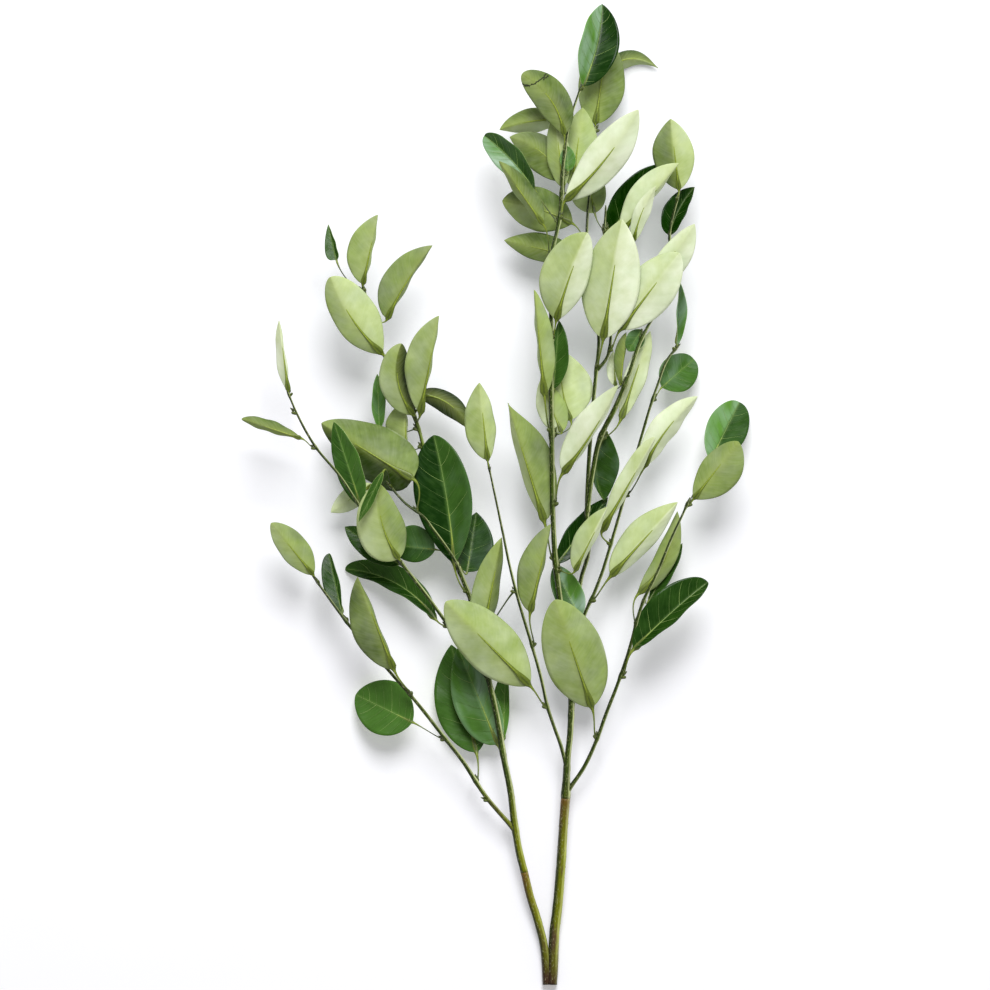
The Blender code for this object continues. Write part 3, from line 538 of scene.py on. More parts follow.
def vein_streaks(tree, across_mm, along_count, seed):
    """Noise drawn out along a leaf's side veins, with a shift of its own for each leaf."""
    across, along, _ = leaf_places(tree)
    place = add(tree, "ShaderNodeCombineXYZ", {
        "X": maths(tree, "MULTIPLY", across, UV_SPAN / across_mm),
        "Y": maths(tree, "MULTIPLY", along, along_count),
        "Z": maths(tree, "ADD", told(tree, "shift"), seed),
    })
    return noise_at(tree, place.outputs["Vector"], 1.0, 2.0)


def bark_noise(tree, scale, detail):
    """Noise on the bark, scaled round the stem and along it."""
    place = told(tree, "bark_place", "Vector")
    moved = add(tree, "ShaderNodeMapping", {"Vector": place, "Scale": scale})
    return noise_at(tree, moved.outputs["Vector"], 1.0, detail)


def bumps(tree, height, depth_mm):
    return add(tree, "ShaderNodeBump", {
        "Height": height, "Distance": depth_mm * MM, "Strength": 1.0,
    }).outputs["Normal"]


def waxy_underside(look):
    """Leaf tissue from below: matt, because a pale wax and fine hairs scatter the light."""
    made, tree = start_material("waxy_underside")
    distance = leaf_places(tree)[2]
    streaks = vein_streaks(tree, 9.0, 46.0, 0.0)
    # Each half's tone: partly the leaf's own, partly painted light and shade. Below zero it turns into
    # painted shadow.
    moved = maths(tree, "ADD", told(tree, "tone"), ramp(tree, mottle(tree, 22), 0.3, 0.7, -0.08, 0.08))
    moved = maths(tree, "ADD", moved, ramp(tree, mottle(tree, 7, seed=2.0), 0.3, 0.7, -0.045, 0.045))
    colour = layered(
        tree, look.under_painted_shadow,
        (look.under_deep, moved, -0.4, 0.0),
        (look.under_middle, moved, 0.0, 0.5),
        (look.under_bright, moved, 0.5, 0.78),
        (look.under_pale, moved, 0.78, 1.05),
    )
    thick_wax = ramp(tree, mottle(tree, 20, seed=7.0), 0.42, 0.72, 0.0, 0.5)
    colour = blend_colours(tree, thick_wax, colour, "#a3b092", kind="COLOR")
    colour = layered(
        tree, colour,
        (look.under_near_midrib, distance, 0.8, 7.0, 0.3, 0.0),
        (look.under_pale, distance, 23.0, 24.75, 0.0, 0.3),
        ("#f4fbe0", streaks, 0.35, 0.7, 0.0, 0.05),
        ("#5d7436", vein_streaks(tree, 14.0, 120.0, 30.0), 0.5, 0.75, 0.0, 0.04),
    )
    return finish_material(made, {
        "Base Color": colour, "Roughness": 0.55,
        "Specular IOR Level": 0.1, "Normal": bumps(tree, streaks, 0.06),
    })


def glossy_upper_side(look):
    """Leaf tissue from above: a smooth cuticle over deep green, so broad soft highlights."""
    made, tree = start_material("glossy_upper_side")
    distance = leaf_places(tree)[2]
    streaks = vein_streaks(tree, 7.0, 34.0, 60.0)
    blotches = ramp(tree, mottle(tree, 10, seed=3.0), 0.3, 0.7, -0.08, 0.08)
    # Each half's tone: partly the leaf's own, partly painted light and shade.
    colour = layered(
        tree, look.upper_deep,
        (look.upper_pale, maths(tree, "ADD", told(tree, "tone"), blotches), 0.0, 1.0),
        (look.vein, distance, 0.3, 1.8, 0.1, 0.0),
        (look.upper_pale, streaks, 0.45, 0.75, 0.0, 0.08),
    )
    # Painted sheen: a pale bluish painted highlight in soft streaks, as strong as each half's share says
    sheen_streaks = ramp(tree, vein_streaks(tree, 16.0, 3.0, 90.0), 0.38, 0.7, 0.0, 0.34)
    colour = blend_colours(tree, maths(tree, "MULTIPLY", told(tree, "bloom"), sheen_streaks), colour, look.bloom)
    return finish_material(made, {
        "Base Color": colour, "Roughness": ramp(tree, streaks, 0.3, 0.7, 0.2, 0.32),
        "Specular IOR Level": 0.15, "Normal": bumps(tree, streaks, 0.14),
    })


def fibrous_midrib(look):
    """Midrib and stalk: firm tissue with fibres along it, slightly shiny, with painted shade on the midrib's
    flanks and down in its groove near the base.
    """
    made, tree = start_material("fibrous_midrib")
    _, along, distance = leaf_places(tree)
    # The stalk turns into the midrib, and painted shade darkens the midrib's flanks away from its crest.
    colour = layered(
        tree, look.stalk,
        (look.midrib, along, -0.25, 0.1),
        (look.midrib_shaded_flank, distance, 0.12, 0.55, 0.0, 0.7),
    )
    # Painted shade down in the groove near the midrib's base
    groove = ramp(tree, distance, 0.25, 0.8, 0.9, 0.0)
    for share in (ramp(tree, along, 0.1, 0.19, 1.0, 0.0), ramp(tree, along, 0.0, 0.02)):
        groove = maths(tree, "MULTIPLY", groove, share)
    colour = blend_colours(tree, groove, colour, "#3a4a10")
    streaks = ramp(tree, mottle(tree, 1.3, seed=5.0), 0.4, 0.65, 0.0, 0.35)
    colour = blend_colours(tree, streaks, colour, "#37440d")
    return finish_material(made, {
        "Base Color": colour, "Roughness": 0.4, "Normal": bumps(tree, streaks, 0.1),
    })


def leaf_vein(look):
    """Veins on the glossy side: paler than the tissue round them, and palest along the middle."""
    made, tree = start_material("leaf_vein")
    colour = blend_colours(tree, told(tree, "paleness"), look.vein_deep, look.vein)
    return finish_material(made, {"Base Color": colour, "Roughness": 0.5})


def plain_tissue(name, colour, roughness, size_mm, second, amount):
    """A small part's tissue: one colour broken up by another in soft spots."""
    made, tree = start_material(name)
    spotted = layered(tree, colour, (second, mottle(tree, size_mm), 0.4, 0.65, 0.0, amount))
    return finish_material(made, {"Base Color": spotted, "Roughness": roughness})


def smooth_bark(look):
    """Bark: green and slightly shiny, streaked along the stem, browner where old, with a painted highlight on
    one side and painted shade on the other.
    """
    made, tree = start_material("smooth_bark")
    age, girth, sunny, scar = [told(tree, name) for name in ("age", "girth", "sunny", "scar")]
    streaks = bark_noise(tree, (0.9, 0.9, 0.07), 4.0)
    patches = bark_noise(tree, (0.2, 0.2, 0.035), 2.0)
    specks = bark_noise(tree, (1.6, 1.6, 0.5), 3.0)
    old = layered(tree, look.bark_old_green, (look.bark_brown, patches, 0.47, 0.58))
    # Dark streaks, a paler greener bark on one twig, old wood, and painted shade on the side away from the
    # painted light
    colour = layered(
        tree, look.bark_thin,
        (look.bark_green, girth, 0.7, 1.7),
        (look.bark_paler_twig, age, -0.5, 0.0, 0.8, 0.0),
        (look.bark_dark, streaks, 0.35, 0.6, 0.75, 0.0),
        (old, age, 0.0, 0.3),
        (look.bark_dark, sunny, 0.25, -0.3, 0.0, 0.9),
    )
    # A painted highlight along the side that faces the painted light, broken by the streaks
    lit = maths(tree, "MULTIPLY", ramp(tree, sunny, 0.62, 0.86), ramp(tree, streaks, 0.35, 0.6, 0.4, 1.0))
    edge = layered(tree, look.bark_painted_highlight, (look.old_bark_painted_highlight, age, 0.0, 0.4))
    colour = layered(tree, blend_colours(tree, lit, colour, edge), ("#3a2016", age, 0.78, 1.0, 0.0, 0.8))
    worn = maths(tree, "MULTIPLY", ramp(tree, scar, 0.05, 0.9), ramp(tree, specks, 0.35, 0.55, 0.3, 0.9))
    colour = blend_colours(tree, worn, colour, "#6f4a1c")
    colour = layered(tree, colour, (look.bark_grey, specks, 0.58, 0.72, 0.0, 0.7))
    return finish_material(made, {
        "Base Color": colour, "Roughness": ramp(tree, specks, 0.4, 0.7, 0.28, 0.5),
        "Specular IOR Level": 0.25, "Normal": bumps(tree, streaks, 0.4),
    })


def fresh_cut_wood():
    """The sawn end: dry pale wood with rings round a brown pith."""
    made, tree = start_material("fresh_cut_wood")
    rings = add(tree, "ShaderNodeTexWave", {
        "Vector": told(tree, "bark_place", "Vector"), "Scale": 0.9, "Distortion": 1.5, "Detail": 2.0,
    }, wave_type="RINGS", rings_direction="Z")
    colour = blend_colours(tree, rings.outputs["Fac"], "#c8b183", "#8f7448")
    return finish_material(made, {"Base Color": colour, "Roughness": 0.8})


def smooth_run(points, steps):
    """Points on one smooth curve through these points, steps of them to each span. The radius runs along."""
    points = [Vector(point) for point in points]
    chords = [(after - before).to_3d().length for before, after in zip(points, points[1:])]
    slopes = [(after - before) / chord for before, after, chord in zip(points, points[1:], chords)]
    turns = [slopes[0]]
    for i in range(1, len(slopes)):
        turns.append((slopes[i - 1] * chords[i] + slopes[i] * chords[i - 1]) / (chords[i - 1] + chords[i]))
    turns.append(slopes[-1])
    run = []
    for i, chord in enumerate(chords):
        for step in range(steps):
            t = step / steps
            run.append(
                points[i] * (2 * t**3 - 3 * t**2 + 1)
                + turns[i] * chord * (t**3 - 2 * t**2 + t)
                + points[i + 1] * (3 * t**2 - 2 * t**3)
                + turns[i + 1] * chord * (t**3 - t**2)
            )
    return run + [points[-1]]


def place_on(run, y):
    """Where the run passes this y: the point, its direction, its radius and how far along it is."""
    along = 0.0
    for before, after in zip(run, run[1:]):
        span = (after - before).to_3d().length
        if before.y <= y <= after.y:
            share = (y - before.y) / (after.y - before.y)
            place = before.lerp(after, share)
            return place.to_3d(), (after - before).to_3d().normalized(), place.w, along + share * span
        along += span
    raise ValueError(f"no place at y {y} on this twig")


def read_off(table, at, column=1):
    """The value of a table's column at a place in its first column."""
    return float(np.interp(at, [row[0] for row in table], [row[column] for row in table]))


def slimmed(points):
    return [(*point[:3], read_off(SLIMMING, point[3])) for point in points]


def trace_twigs():
    """Each twig's middle line with its radius, outwards from its parent's middle line or the base's leg."""
    runs = {}
    legs = list(BASE_LEGS)
    for twig in TWIGS:
        points = slimmed(twig.route)
        if twig.parent:
            place = place_on(runs[twig.parent], twig.parent_y)[0]
            points = [(*place, points[0][3]), *points]
        else:
            points[0] = legs.pop(0)[-1]
        runs[twig.name] = smooth_run(points, STEM_STEPS)
    return runs


RUNS = trace_twigs()


def stalk_root(twig, y, goal):
    """Where a twig carries a stalk: the place, the way along, the way out towards a goal and the radius."""
    place, ahead, radius, _ = place_on(RUNS[twig], y)
    outward = goal - place
    return place, ahead, (outward - ahead * outward.dot(ahead)).normalized(), radius


def link(name, data):
    """A new object in the scene."""
    made = bpy.data.objects.new(name, data)
    bpy.context.scene.collection.objects.link(made)
    return made


def new_mesh(name, points, edges=(), faces=()):
    mesh = bpy.data.meshes.new(name)
    mesh.from_pydata(points, edges, faces)
    return mesh


def write(mesh, **tables):
    """Gives a mesh a number or a vector for each vertex, under each of these names."""
    for name, values in tables.items():
        values = np.array(values, np.float32)
        kind, field = ("FLOAT", "value") if values.ndim == 1 else ("FLOAT_VECTOR", "vector")
        mesh.attributes.new(name, kind, "POINT").data.foreach_set(field, values.ravel())


class Shape:
    """Vertices and faces of one mesh in mm, with a material slot for each face and each vertex's UV place."""

    def __init__(self):
        self.points = []
        self.faces = []
        self.slots = []
        self.places = []

    def loft(self, rings, places, slot_of, start_slot=None):
        """Joins rings of as many corners and closes both ends. slot_of gives each corner's face a slot."""
        first = len(self.points)
        count = len(rings[0])
        self.points += [point for ring in rings for point in ring]
        self.places += [place for row in places for place in row]
        for low in range(first, len(self.points) - count, count):
            for i in range(count):
                j = (i + 1) % count
                self.faces.append((low + i, low + j, low + count + j, low + count + i))
                self.slots.append(slot_of(i))
        self.faces.append(tuple(range(first, first + count))[::-1])
        self.faces.append(tuple(range(len(self.points) - count, len(self.points))))
        self.slots += [slot_of(0) if start_slot is None else start_slot, slot_of(0)]

    def build(self, name, materials, uv_name, **tables):
        """The shape as an object, no lower than just above the floor, with these tables for its vertices."""
        points = [(p[0] * MM, p[1] * MM, max(p[2], FLOOR_CLEARANCE) * MM) for p in self.points]
        mesh = new_mesh(name, points, faces=self.faces)
        mesh.polygons.foreach_set("material_index", self.slots)
        uv = mesh.uv_layers.new(name=uv_name)
        corners = np.empty(len(mesh.loops), np.int32)
        mesh.loops.foreach_get("vertex_index", corners)
        uv.data.foreach_set("uv", np.array(self.places, np.float32)[corners].ravel())
        write(mesh, **tables)
        for material in materials:
            mesh.materials.append(material)
        mesh.shade_smooth()
        mesh.validate()
        return link(name, mesh)


def half_width_share(leaf, t):
    """The outline of a leaf: its half width at t of its length, as a share of the widest."""
    u = t ** (math.log(0.5) / math.log(leaf.widest))
    fullness = BASE_FULLNESS + (leaf.end - BASE_FULLNESS) * t
    return max(4 * u * (1 - u), 0.0) ** fullness


def midrib_frame(leaf, t):
    """The midrib at t of the leaf's length: the point, the way ahead, the way across to the right and up."""
    base, tip = Vector(leaf.base), Vector(leaf.tip)
    length = (tip - base).length
    ahead = (tip - base).normalized()
    across = ahead.cross(UP).normalized()
    bend = (across.cross(ahead) * leaf.bow + across * leaf.sweep) * length
    place = base + (tip - base) * t + bend * 4 * t * (1 - t)
    ahead = ((tip - base) + bend * 4 * (1 - 2 * t)).normalized()
    across = ahead.cross(UP).normalized()
    return place, ahead, across, across.cross(ahead)


def slant(t, s):
    """How far a row that starts at t has run towards the tip where it is s from the midrib."""
    return VEIN_SLANT * abs(s) ** SLANT_CURVE * t * (1 - t)


def midrib_size(blade, least, most):
    """How thick a leaf's midrib is, as a share of that of a leaf of MIDRIB_LEAF mm."""
    return min(most, max(least, blade.length / MIDRIB_LEAF))


class Blade:
    """The middle surface of a leaf's blade. under is 1 if its pale underside faces up and -1 if not."""

    def __init__(self, leaf, look, chance):
        self.leaf = leaf
        self.under = 1 if leaf.fall_left + leaf.fall_right > 0 else -1
        self.slopes = (math.tan(math.radians(leaf.fall_left)), math.tan(math.radians(leaf.fall_right)))
        self.length = (Vector(leaf.tip) - Vector(leaf.base)).length
        self.wave = look.wave_height / MM * min(1.0, self.length / MIDRIB_LEAF)
        self.waves = chance.uniform(*WAVES)
        self.phases = (chance.uniform(0, math.tau), chance.uniform(0, math.tau))
        self.cup = chance.uniform(*CUPS)

    def row_share(self, row):
        """Where along the midrib a row starts. Rows are closer together towards both ends."""
        x = row / (ROWS - 1)
        return (1 - ROW_CROWDING) * x + ROW_CROWDING * (0.5 - 0.5 * math.cos(math.pi * x))

    def point(self, t, s):
        """The surface and its half width, at t of the length and s across: from -1, the left edge, to 1."""
        leaf = self.leaf
        t = min(t + slant(t, s), 1.0)
        place, _, across, up = midrib_frame(leaf, t)
        side = s > 0
        slope = self.slopes[side]
        share = half_width_share(leaf, t)
        width = max((leaf.right if side else leaf.left) * share, TIP_HALF_WIDTH / math.hypot(1, slope))
        fall = width * slope * abs(s) ** CROSS_CURVE
        normal = (up + across * (slope if side else -slope)).normalized()
        ripple = self.wave * share * s * s * math.sin(self.waves * math.tau * t + self.phases[side])
        ripple += self.cup * share * (abs(s) - s * s) * 4
        return place + across * (width * s) - up * fall + normal * ripple, width * math.hypot(1, slope)

    def grid(self):
        """The columns' places across, and row by row the points, the widths and the way the surface faces."""
        shares = [2 * i / COLUMNS - 1 for i in range(COLUMNS + 1)]
        points = np.zeros((ROWS, COLUMNS + 1, 3))
        widths = np.zeros((ROWS, COLUMNS + 1))
        for row in range(ROWS):
            t = self.row_share(row)
            for column, s in enumerate(shares):
                place, width = self.point(t, s)
                points[row, column] = place
                widths[row, column] = width * s
        along = np.gradient(points, axis=0)
        across = np.gradient(points, axis=1)
        normals = np.cross(across, along)
        normals /= np.maximum(np.linalg.norm(normals, axis=2, keepdims=True), 1e-9)
        return shares, points, widths, normals


def stalk_run(leaf):
    """The stalk from inside the twig to the blade: its share, middle, way across and up. Also its length."""
    base, blade_ahead, across, _ = midrib_frame(leaf, 0.0)
    place, ahead, outward, radius = stalk_root(leaf.twig, leaf.twig_y, base)
    start = place + outward * radius * STALK_DEPTH
    reach = (base - start).length * STALK_PULL
    first = min(reach, STALK_REACH)
    pulls = (start, start + outward * first + ahead * first * STALK_LIFT, base - blade_ahead * reach, base)
    steps = max(FEWEST_STALK_STEPS, int((base - start).length / STALK_SPACING))
    rings = []
    for step in range(steps, -1, -1):
        t = step / steps
        s = 1 - t
        middle = pulls[0] * s**3 + pulls[1] * 3 * s * s * t + pulls[2] * 3 * s * t * t + pulls[3] * t**3
        way = (pulls[1] - pulls[0]) * s * s + (pulls[2] - pulls[1]) * 2 * s * t
        way = (way + (pulls[3] - pulls[2]) * t * t).normalized()
        across = (across - way * across.dot(way)).normalized()
        rings.append((t, middle, across.copy(), across.cross(way)))
    return rings[::-1], (base - start).length


def midrib_shape(shape, blade, slot):
    """Adds the stalk and the raised midrib, which stands on the blade's lower side."""
    size = midrib_size(blade, *MIDRIB_SIZES)
    under = blade.under
    rings, places = [], []
    turns = [math.tau * (k + 0.5) / MIDRIB_SIDES for k in range(MIDRIB_SIDES)]
    run, reach = stalk_run(blade.leaf)
    for t, middle, across, up in run[:-1]:
        radius = read_off(STALK, t) * max(size, THINNEST_STALK)
        rings.append([middle + (across * math.cos(a) + up * math.sin(a)) * radius for a in turns])
        places.append([(0.5, (t - 1) * reach / blade.length)] * MIDRIB_SIDES)
    for step in range(MIDRIB_RINGS + 1):
        t = MIDRIB[-1][0] * step / MIDRIB_RINGS
        place, _, across, up = midrib_frame(blade.leaf, t)
        width, height = read_off(MIDRIB, t) * size, read_off(MIDRIB, t, 2) * size
        centre = place + up * under * height * MIDRIB_RISE
        groove = GROOVE_DEPTH * max(0.0, 1 - t / GROOVE_END)
        ring = []
        for a in turns:
            dent = groove * math.exp(-((math.cos(a) / GROOVE_WIDTH) ** 2)) if under * math.sin(a) > 0 else 0.0
            ring.append(centre + across * math.cos(a) * width + up * math.sin(a) * height * (1 - dent))
        rings.append(ring)
        places.append([(0.5 + math.cos(a) * width / UV_SPAN, t) for a in turns])
    shape.loft(rings, places, lambda i: slot)


def blade_shape(shape, blade, look, upper_slot, under_slot):
    """Adds the blade as a closed shell: its top from left to right, then its bottom from right to left."""
    shares, points, widths, normals = blade.grid()
    half = look.thickness / MM / 2
    rings, places = [], []
    for row in range(ROWS):
        t = blade.row_share(row)
        on_vein = row % ROWS_TO_A_VEIN == 0 and 0 < row < ROWS - 1
        top, bottom, flat = [], [], []
        for column, s in enumerate(shares):
            relief = blade.under * look.vein_relief / MM * on_vein * min(1.0, RELIEF_FADE * (1 - abs(s)))
            thin = half * (1 - EDGE_THINNING * s**8)
            normal = normals[row, column]
            top.append(points[row, column] + normal * (relief + thin))
            bottom.append(points[row, column] + normal * (relief - thin))
            flat.append((0.5 + widths[row, column] / UV_SPAN, t))
        rings.append([Vector(p) for p in top + bottom[::-1]])
        places.append(flat + flat[::-1])
    top_slot, bottom_slot = (under_slot, upper_slot)[::blade.under]
    shape.loft(rings, places, lambda i: top_slot if i < COLUMNS else bottom_slot)


def surface_line(blade, path, way, lift):
    """Points lift mm off the blade's middle surface along the path: above it for way 1, below it for -1."""
    along, across = SLOPE_STEPS
    for t, s in path:
        ahead = blade.point(min(t + along, 1.0), s)[0] - blade.point(max(t - along, 0.0), s)[0]
        beside = blade.point(t, min(s + across, 1.0))[0] - blade.point(t, max(s - across, -1.0))[0]
        place = blade.point(t, s)[0] + beside.cross(ahead).normalized() * way * lift
        yield Vector((place.x, place.y, max(place.z, 2 * FLOOR_CLEARANCE)))


def vein_lines(blade, look):
    """Lines on the glossy side as points, radii and paleness: the midrib, and two veins for each vein row."""
    way = -blade.under
    lift = look.thickness / MM / 2 + way * look.vein_relief / MM
    size = midrib_size(blade, *VEIN_SIZES)
    middle = [(i / MIDRIB_STEPS * MIDRIB_REACH, 0.0) for i in range(MIDRIB_STEPS + 1)]
    paths = [(middle, look.midrib_line / MM, MIDRIB_END, MIDRIB_PALENESS)]
    for row in range(ROWS_TO_A_VEIN, ROWS - 2 * ROWS_TO_A_VEIN, ROWS_TO_A_VEIN):
        t = blade.row_share(row)
        for side in (-1, 1):
            plain = PLAIN_VEIN if row // ROWS_TO_A_VEIN % PLAIN_STEP == (side + 1) // 2 else 0.0
            line = [(t, side * (VEIN_START + VEIN_REACH * i / VEIN_STEPS)) for i in range(VEIN_STEPS + 1)]
            paths.append((line, (1.0 + plain) * look.vein_line / MM, VEIN_END, plain))
    for path, width, end, paleness in paths:
        places = list(surface_line(blade, path, way, lift))
        radii = [width / 2 * size * (1 - (1 - end) * i / (len(path) - 1)) for i in range(len(path))]
        yield places, radii, paleness + TONE_PALENESS * blade.leaf.tone


def crack_lines(blade, look, chance):
    """A dry crack straight across a blade's underside, as points, radii and paleness: a line and two arms."""
    lift = look.thickness / MM / 2
    for first, last, shift in CRACKS:
        path = []
        for i in range(CRACK_STEPS + 1):
            s = first + (last - first) * i / CRACK_STEPS
            goal = CRACK_PLACE - CRACK_SLOPE * s + shift + chance.uniform(-CRACK_JITTER, CRACK_JITTER)
            path.append((goal - CRACK_SLANT * slant(goal, s), s))
        yield list(surface_line(blade, path, 1, lift)), [chance.uniform(*CRACK_RADII) for _ in path], 1.0


def make_tree(name, **kinds):
    """A Geometry Nodes tree with inputs of these kinds, and what it is given."""
    tree = bpy.data.node_groups.new(name, "GeometryNodeTree")
    tree.interface.new_socket(name="Geometry", in_out="OUTPUT", socket_type="NodeSocketGeometry")
    for label, kind in {"Geometry": "Geometry", "Material": "Material", **kinds}.items():
        tree.interface.new_socket(name=label, in_out="INPUT", socket_type=f"NodeSocket{kind}")
    return tree, add(tree, "NodeGroupInput").outputs


def stored(tree, name, kind="FLOAT"):
    """What a Geometry Nodes tree reads from its mesh under this name."""
    return add(tree, "GeometryNodeInputNamedAttribute", {"Name": name}, data_type=kind).outputs["Attribute"]


def finish_tree(tree, geometry, given):
    """Ends a tree: instances become real faces and get their material."""
    real = add(tree, "GeometryNodeRealizeInstances", {"Geometry": geometry}).outputs[0]
    painted = add(tree, "GeometryNodeSetMaterial", {"Geometry": real, "Material": given["Material"]})
    add(tree, "NodeGroupOutput", {"Geometry": painted.outputs[0]})
    return tree


def run_tree(name, mesh, tree, values):
    """A piece made by a Geometry Nodes tree from a mesh, as a plain mesh."""
    source = link(f"{name}_source", mesh)
    step = source.modifiers.new("nodes", "NODES")
    step.node_group = tree
    for item in tree.interface.items_tree:
        if item.in_out == "INPUT" and item.name in values:
            step[item.identifier] = values[item.name]
    graph = bpy.context.evaluated_depsgraph_get()
    made = link(name, bpy.data.meshes.new_from_object(source.evaluated_get(graph)))
    made.data.name = name
    made.data.shade_smooth()
    bpy.data.objects.remove(source)
    return made


def rib_tree():
    """Lines become ribs of a round section, as thick as each point says."""
    tree, given = make_tree("ribs", Sides="Int")
    curve = add(tree, "GeometryNodeMeshToCurve", {"Mesh": given["Geometry"]})
    width = stored(tree, "rib_radius")
    thick = add(tree, "GeometryNodeSetCurveRadius", {"Curve": curve.outputs[0], "Radius": width})
    circle = add(tree, "GeometryNodeCurvePrimitiveCircle", {"Resolution": given["Sides"], "Radius": 1.0})
    ribs = add(tree, "GeometryNodeCurveToMesh", {
        "Curve": thick.outputs[0], "Profile Curve": circle.outputs[0], "Fill Caps": True,
    })
    if "Scale" in ribs.inputs:
        tree.links.new(width, ribs.inputs["Scale"])
    return finish_tree(tree, ribs.outputs["Mesh"], given)


def bud_tree():
    """A bud at every point, turned the way the point says and as large."""
    tree, given = make_tree("buds", Bud="Object")
    turn = add(tree, "FunctionNodeAlignRotationToVector", {
        "Vector": stored(tree, "pointing", "FLOAT_VECTOR"),
    }, axis="Z")
    placed = add(tree, "GeometryNodeInstanceOnPoints", {
        "Points": add(tree, "GeometryNodeMeshToPoints", {"Mesh": given["Geometry"]}).outputs[0],
        "Instance": add(tree, "GeometryNodeObjectInfo", {"Object": given["Bud"]}).outputs["Geometry"],
        "Rotation": turn.outputs["Rotation"], "Scale": stored(tree, "bud_size"),
    })
    return finish_tree(tree, placed.outputs["Instances"], given)


def lenticel_tree():
    """Small raised spots scattered over bark, longer along the stem than across it."""
    tree, given = make_tree("lenticels", Density="Float", Seed="Int", Length="Float")
    spread = add(tree, "GeometryNodeDistributePointsOnFaces", {
        "Mesh": given["Geometry"], "Density": given["Density"], "Seed": given["Seed"],
    })
    turn = add(tree, "FunctionNodeAlignRotationToVector", {
        "Rotation": spread.outputs["Rotation"], "Vector": stored(tree, "grain", "FLOAT_VECTOR"),
    }, axis="Y", pivot_axis="Z")
    spot = add(tree, "GeometryNodeMeshIcoSphere", {"Radius": 0.5, "Subdivisions": 2})
    slim = add(tree, "GeometryNodeTransform", {"Geometry": spot.outputs["Mesh"], "Scale": SPOT_SHAPE})
    least, most = SPOT_SIZES
    size = add(tree, "FunctionNodeRandomValue", {
        "Min": least, "Max": most, "Seed": given["Seed"],
    }, data_type="FLOAT")
    placed = add(tree, "GeometryNodeInstanceOnPoints", {
        "Points": spread.outputs["Points"], "Instance": slim.outputs["Geometry"],
        "Rotation": turn.outputs["Rotation"],
        "Scale": maths(tree, "MULTIPLY", size.outputs[1], given["Length"]),
    })
    return finish_tree(tree, placed.outputs["Instances"], given)


def even_run(run, spacing):
    """The run again with places at even distances, and those distances."""
    points = np.array([tuple(p) for p in run])
    lengths = np.concatenate(([0.0], np.cumsum(np.linalg.norm(np.diff(points[:, :3], axis=0), axis=1))))
    count = max(4, int(lengths[-1] / spacing))
    at = np.linspace(0.0, lengths[-1], count + 1)
    return [Vector([float(np.interp(d, lengths, points[:, k])) for k in range(4)]) for d in at], at


def swell_places(name):
    """How far along a twig its leaves and its own side twigs leave it."""
    run = RUNS[name]
    places = [place_on(run, leaf.twig_y)[3] for leaf in LEAVES if leaf.twig == name]
    return places + [place_on(run, twig.parent_y)[3] for twig in TWIGS if twig.parent == name]


def with_tip_bud(places):
    """A twig's places, distances and shares of its radius, with the bud at its tip."""
    shaped = [(place, distance, 1.0) for place, distance in places]
    last, far = places[-1]
    way = (last - places[-2][0]).to_3d().normalized()
    for reach, share in TIP_BUD:
        shaped.append((Vector((*(last.to_3d() + way * reach), last.w)), far + reach, share))
    return shaped


def bark_rings(run, look, seed, swells=(), parent_radius=0.0):
    """Rings of a twig's bark, with each corner's UV place, its place on the bark, its grain and how far it
    faces the painted light.
    """
    places = list(zip(*even_run(run, RING_SPACING)))
    shaped = with_tip_bud(places) if run[-1].w < THICKEST_TIP else [(*place, 1.0) for place in places]
    turns = [math.tau * k / BARK_SIDES for k in range(BARK_SIDES)]
    rings, flats, bark_places, grain, sunny = [], [], [], [], []
    for i, (place, distance, share) in enumerate(shaped):
        before = shaped[max(i - 1, 0)][0]
        after = shaped[min(i + 1, len(shaped) - 1)][0]
        ahead = (after - before).to_3d().normalized()
        across = (UP - ahead * UP.dot(ahead)).normalized()
        beside = ahead.cross(across)
        radius = place.w * share
        if parent_radius:
            free = max(distance - parent_radius, 0.0)
            radius *= 1 + COLLAR * math.exp(-free / COLLAR_LENGTH)
            radius = min(radius, parent_radius * INSIDE_PARENT) if distance < parent_radius else radius
        radius += sum(look.node_swell / MM * math.exp(-(((distance - d) / NODE_LENGTH) ** 2)) for d in swells)
        ring, flat = [], []
        for a in turns:
            around = Vector((math.cos(a), math.sin(a), place.y / DENTS[1] + seed))
            rough = 1 + DENTS[2] * noise.noise(around * DENTS[0])
            rough += RIDGES[2] * math.sin(RIDGES[0] * a + place.y / RIDGES[1])
            out = across * around.x + beside * around.y
            ring.append(place.to_3d() + out * radius * rough)
            flat.append((a / math.tau, distance / 100))
            bark_places.append((around.x * radius + seed, around.y * radius, place.y))
            # How far this corner faces the painted light, for the bark's painted highlight and shade
            sunny.append(out.dot(PAINTED_LIGHT_WAY))
        rings.append(ring)
        flats.append(flat)
        grain += [tuple(ahead)] * BARK_SIDES
    return rings, flats, bark_places, grain, sunny


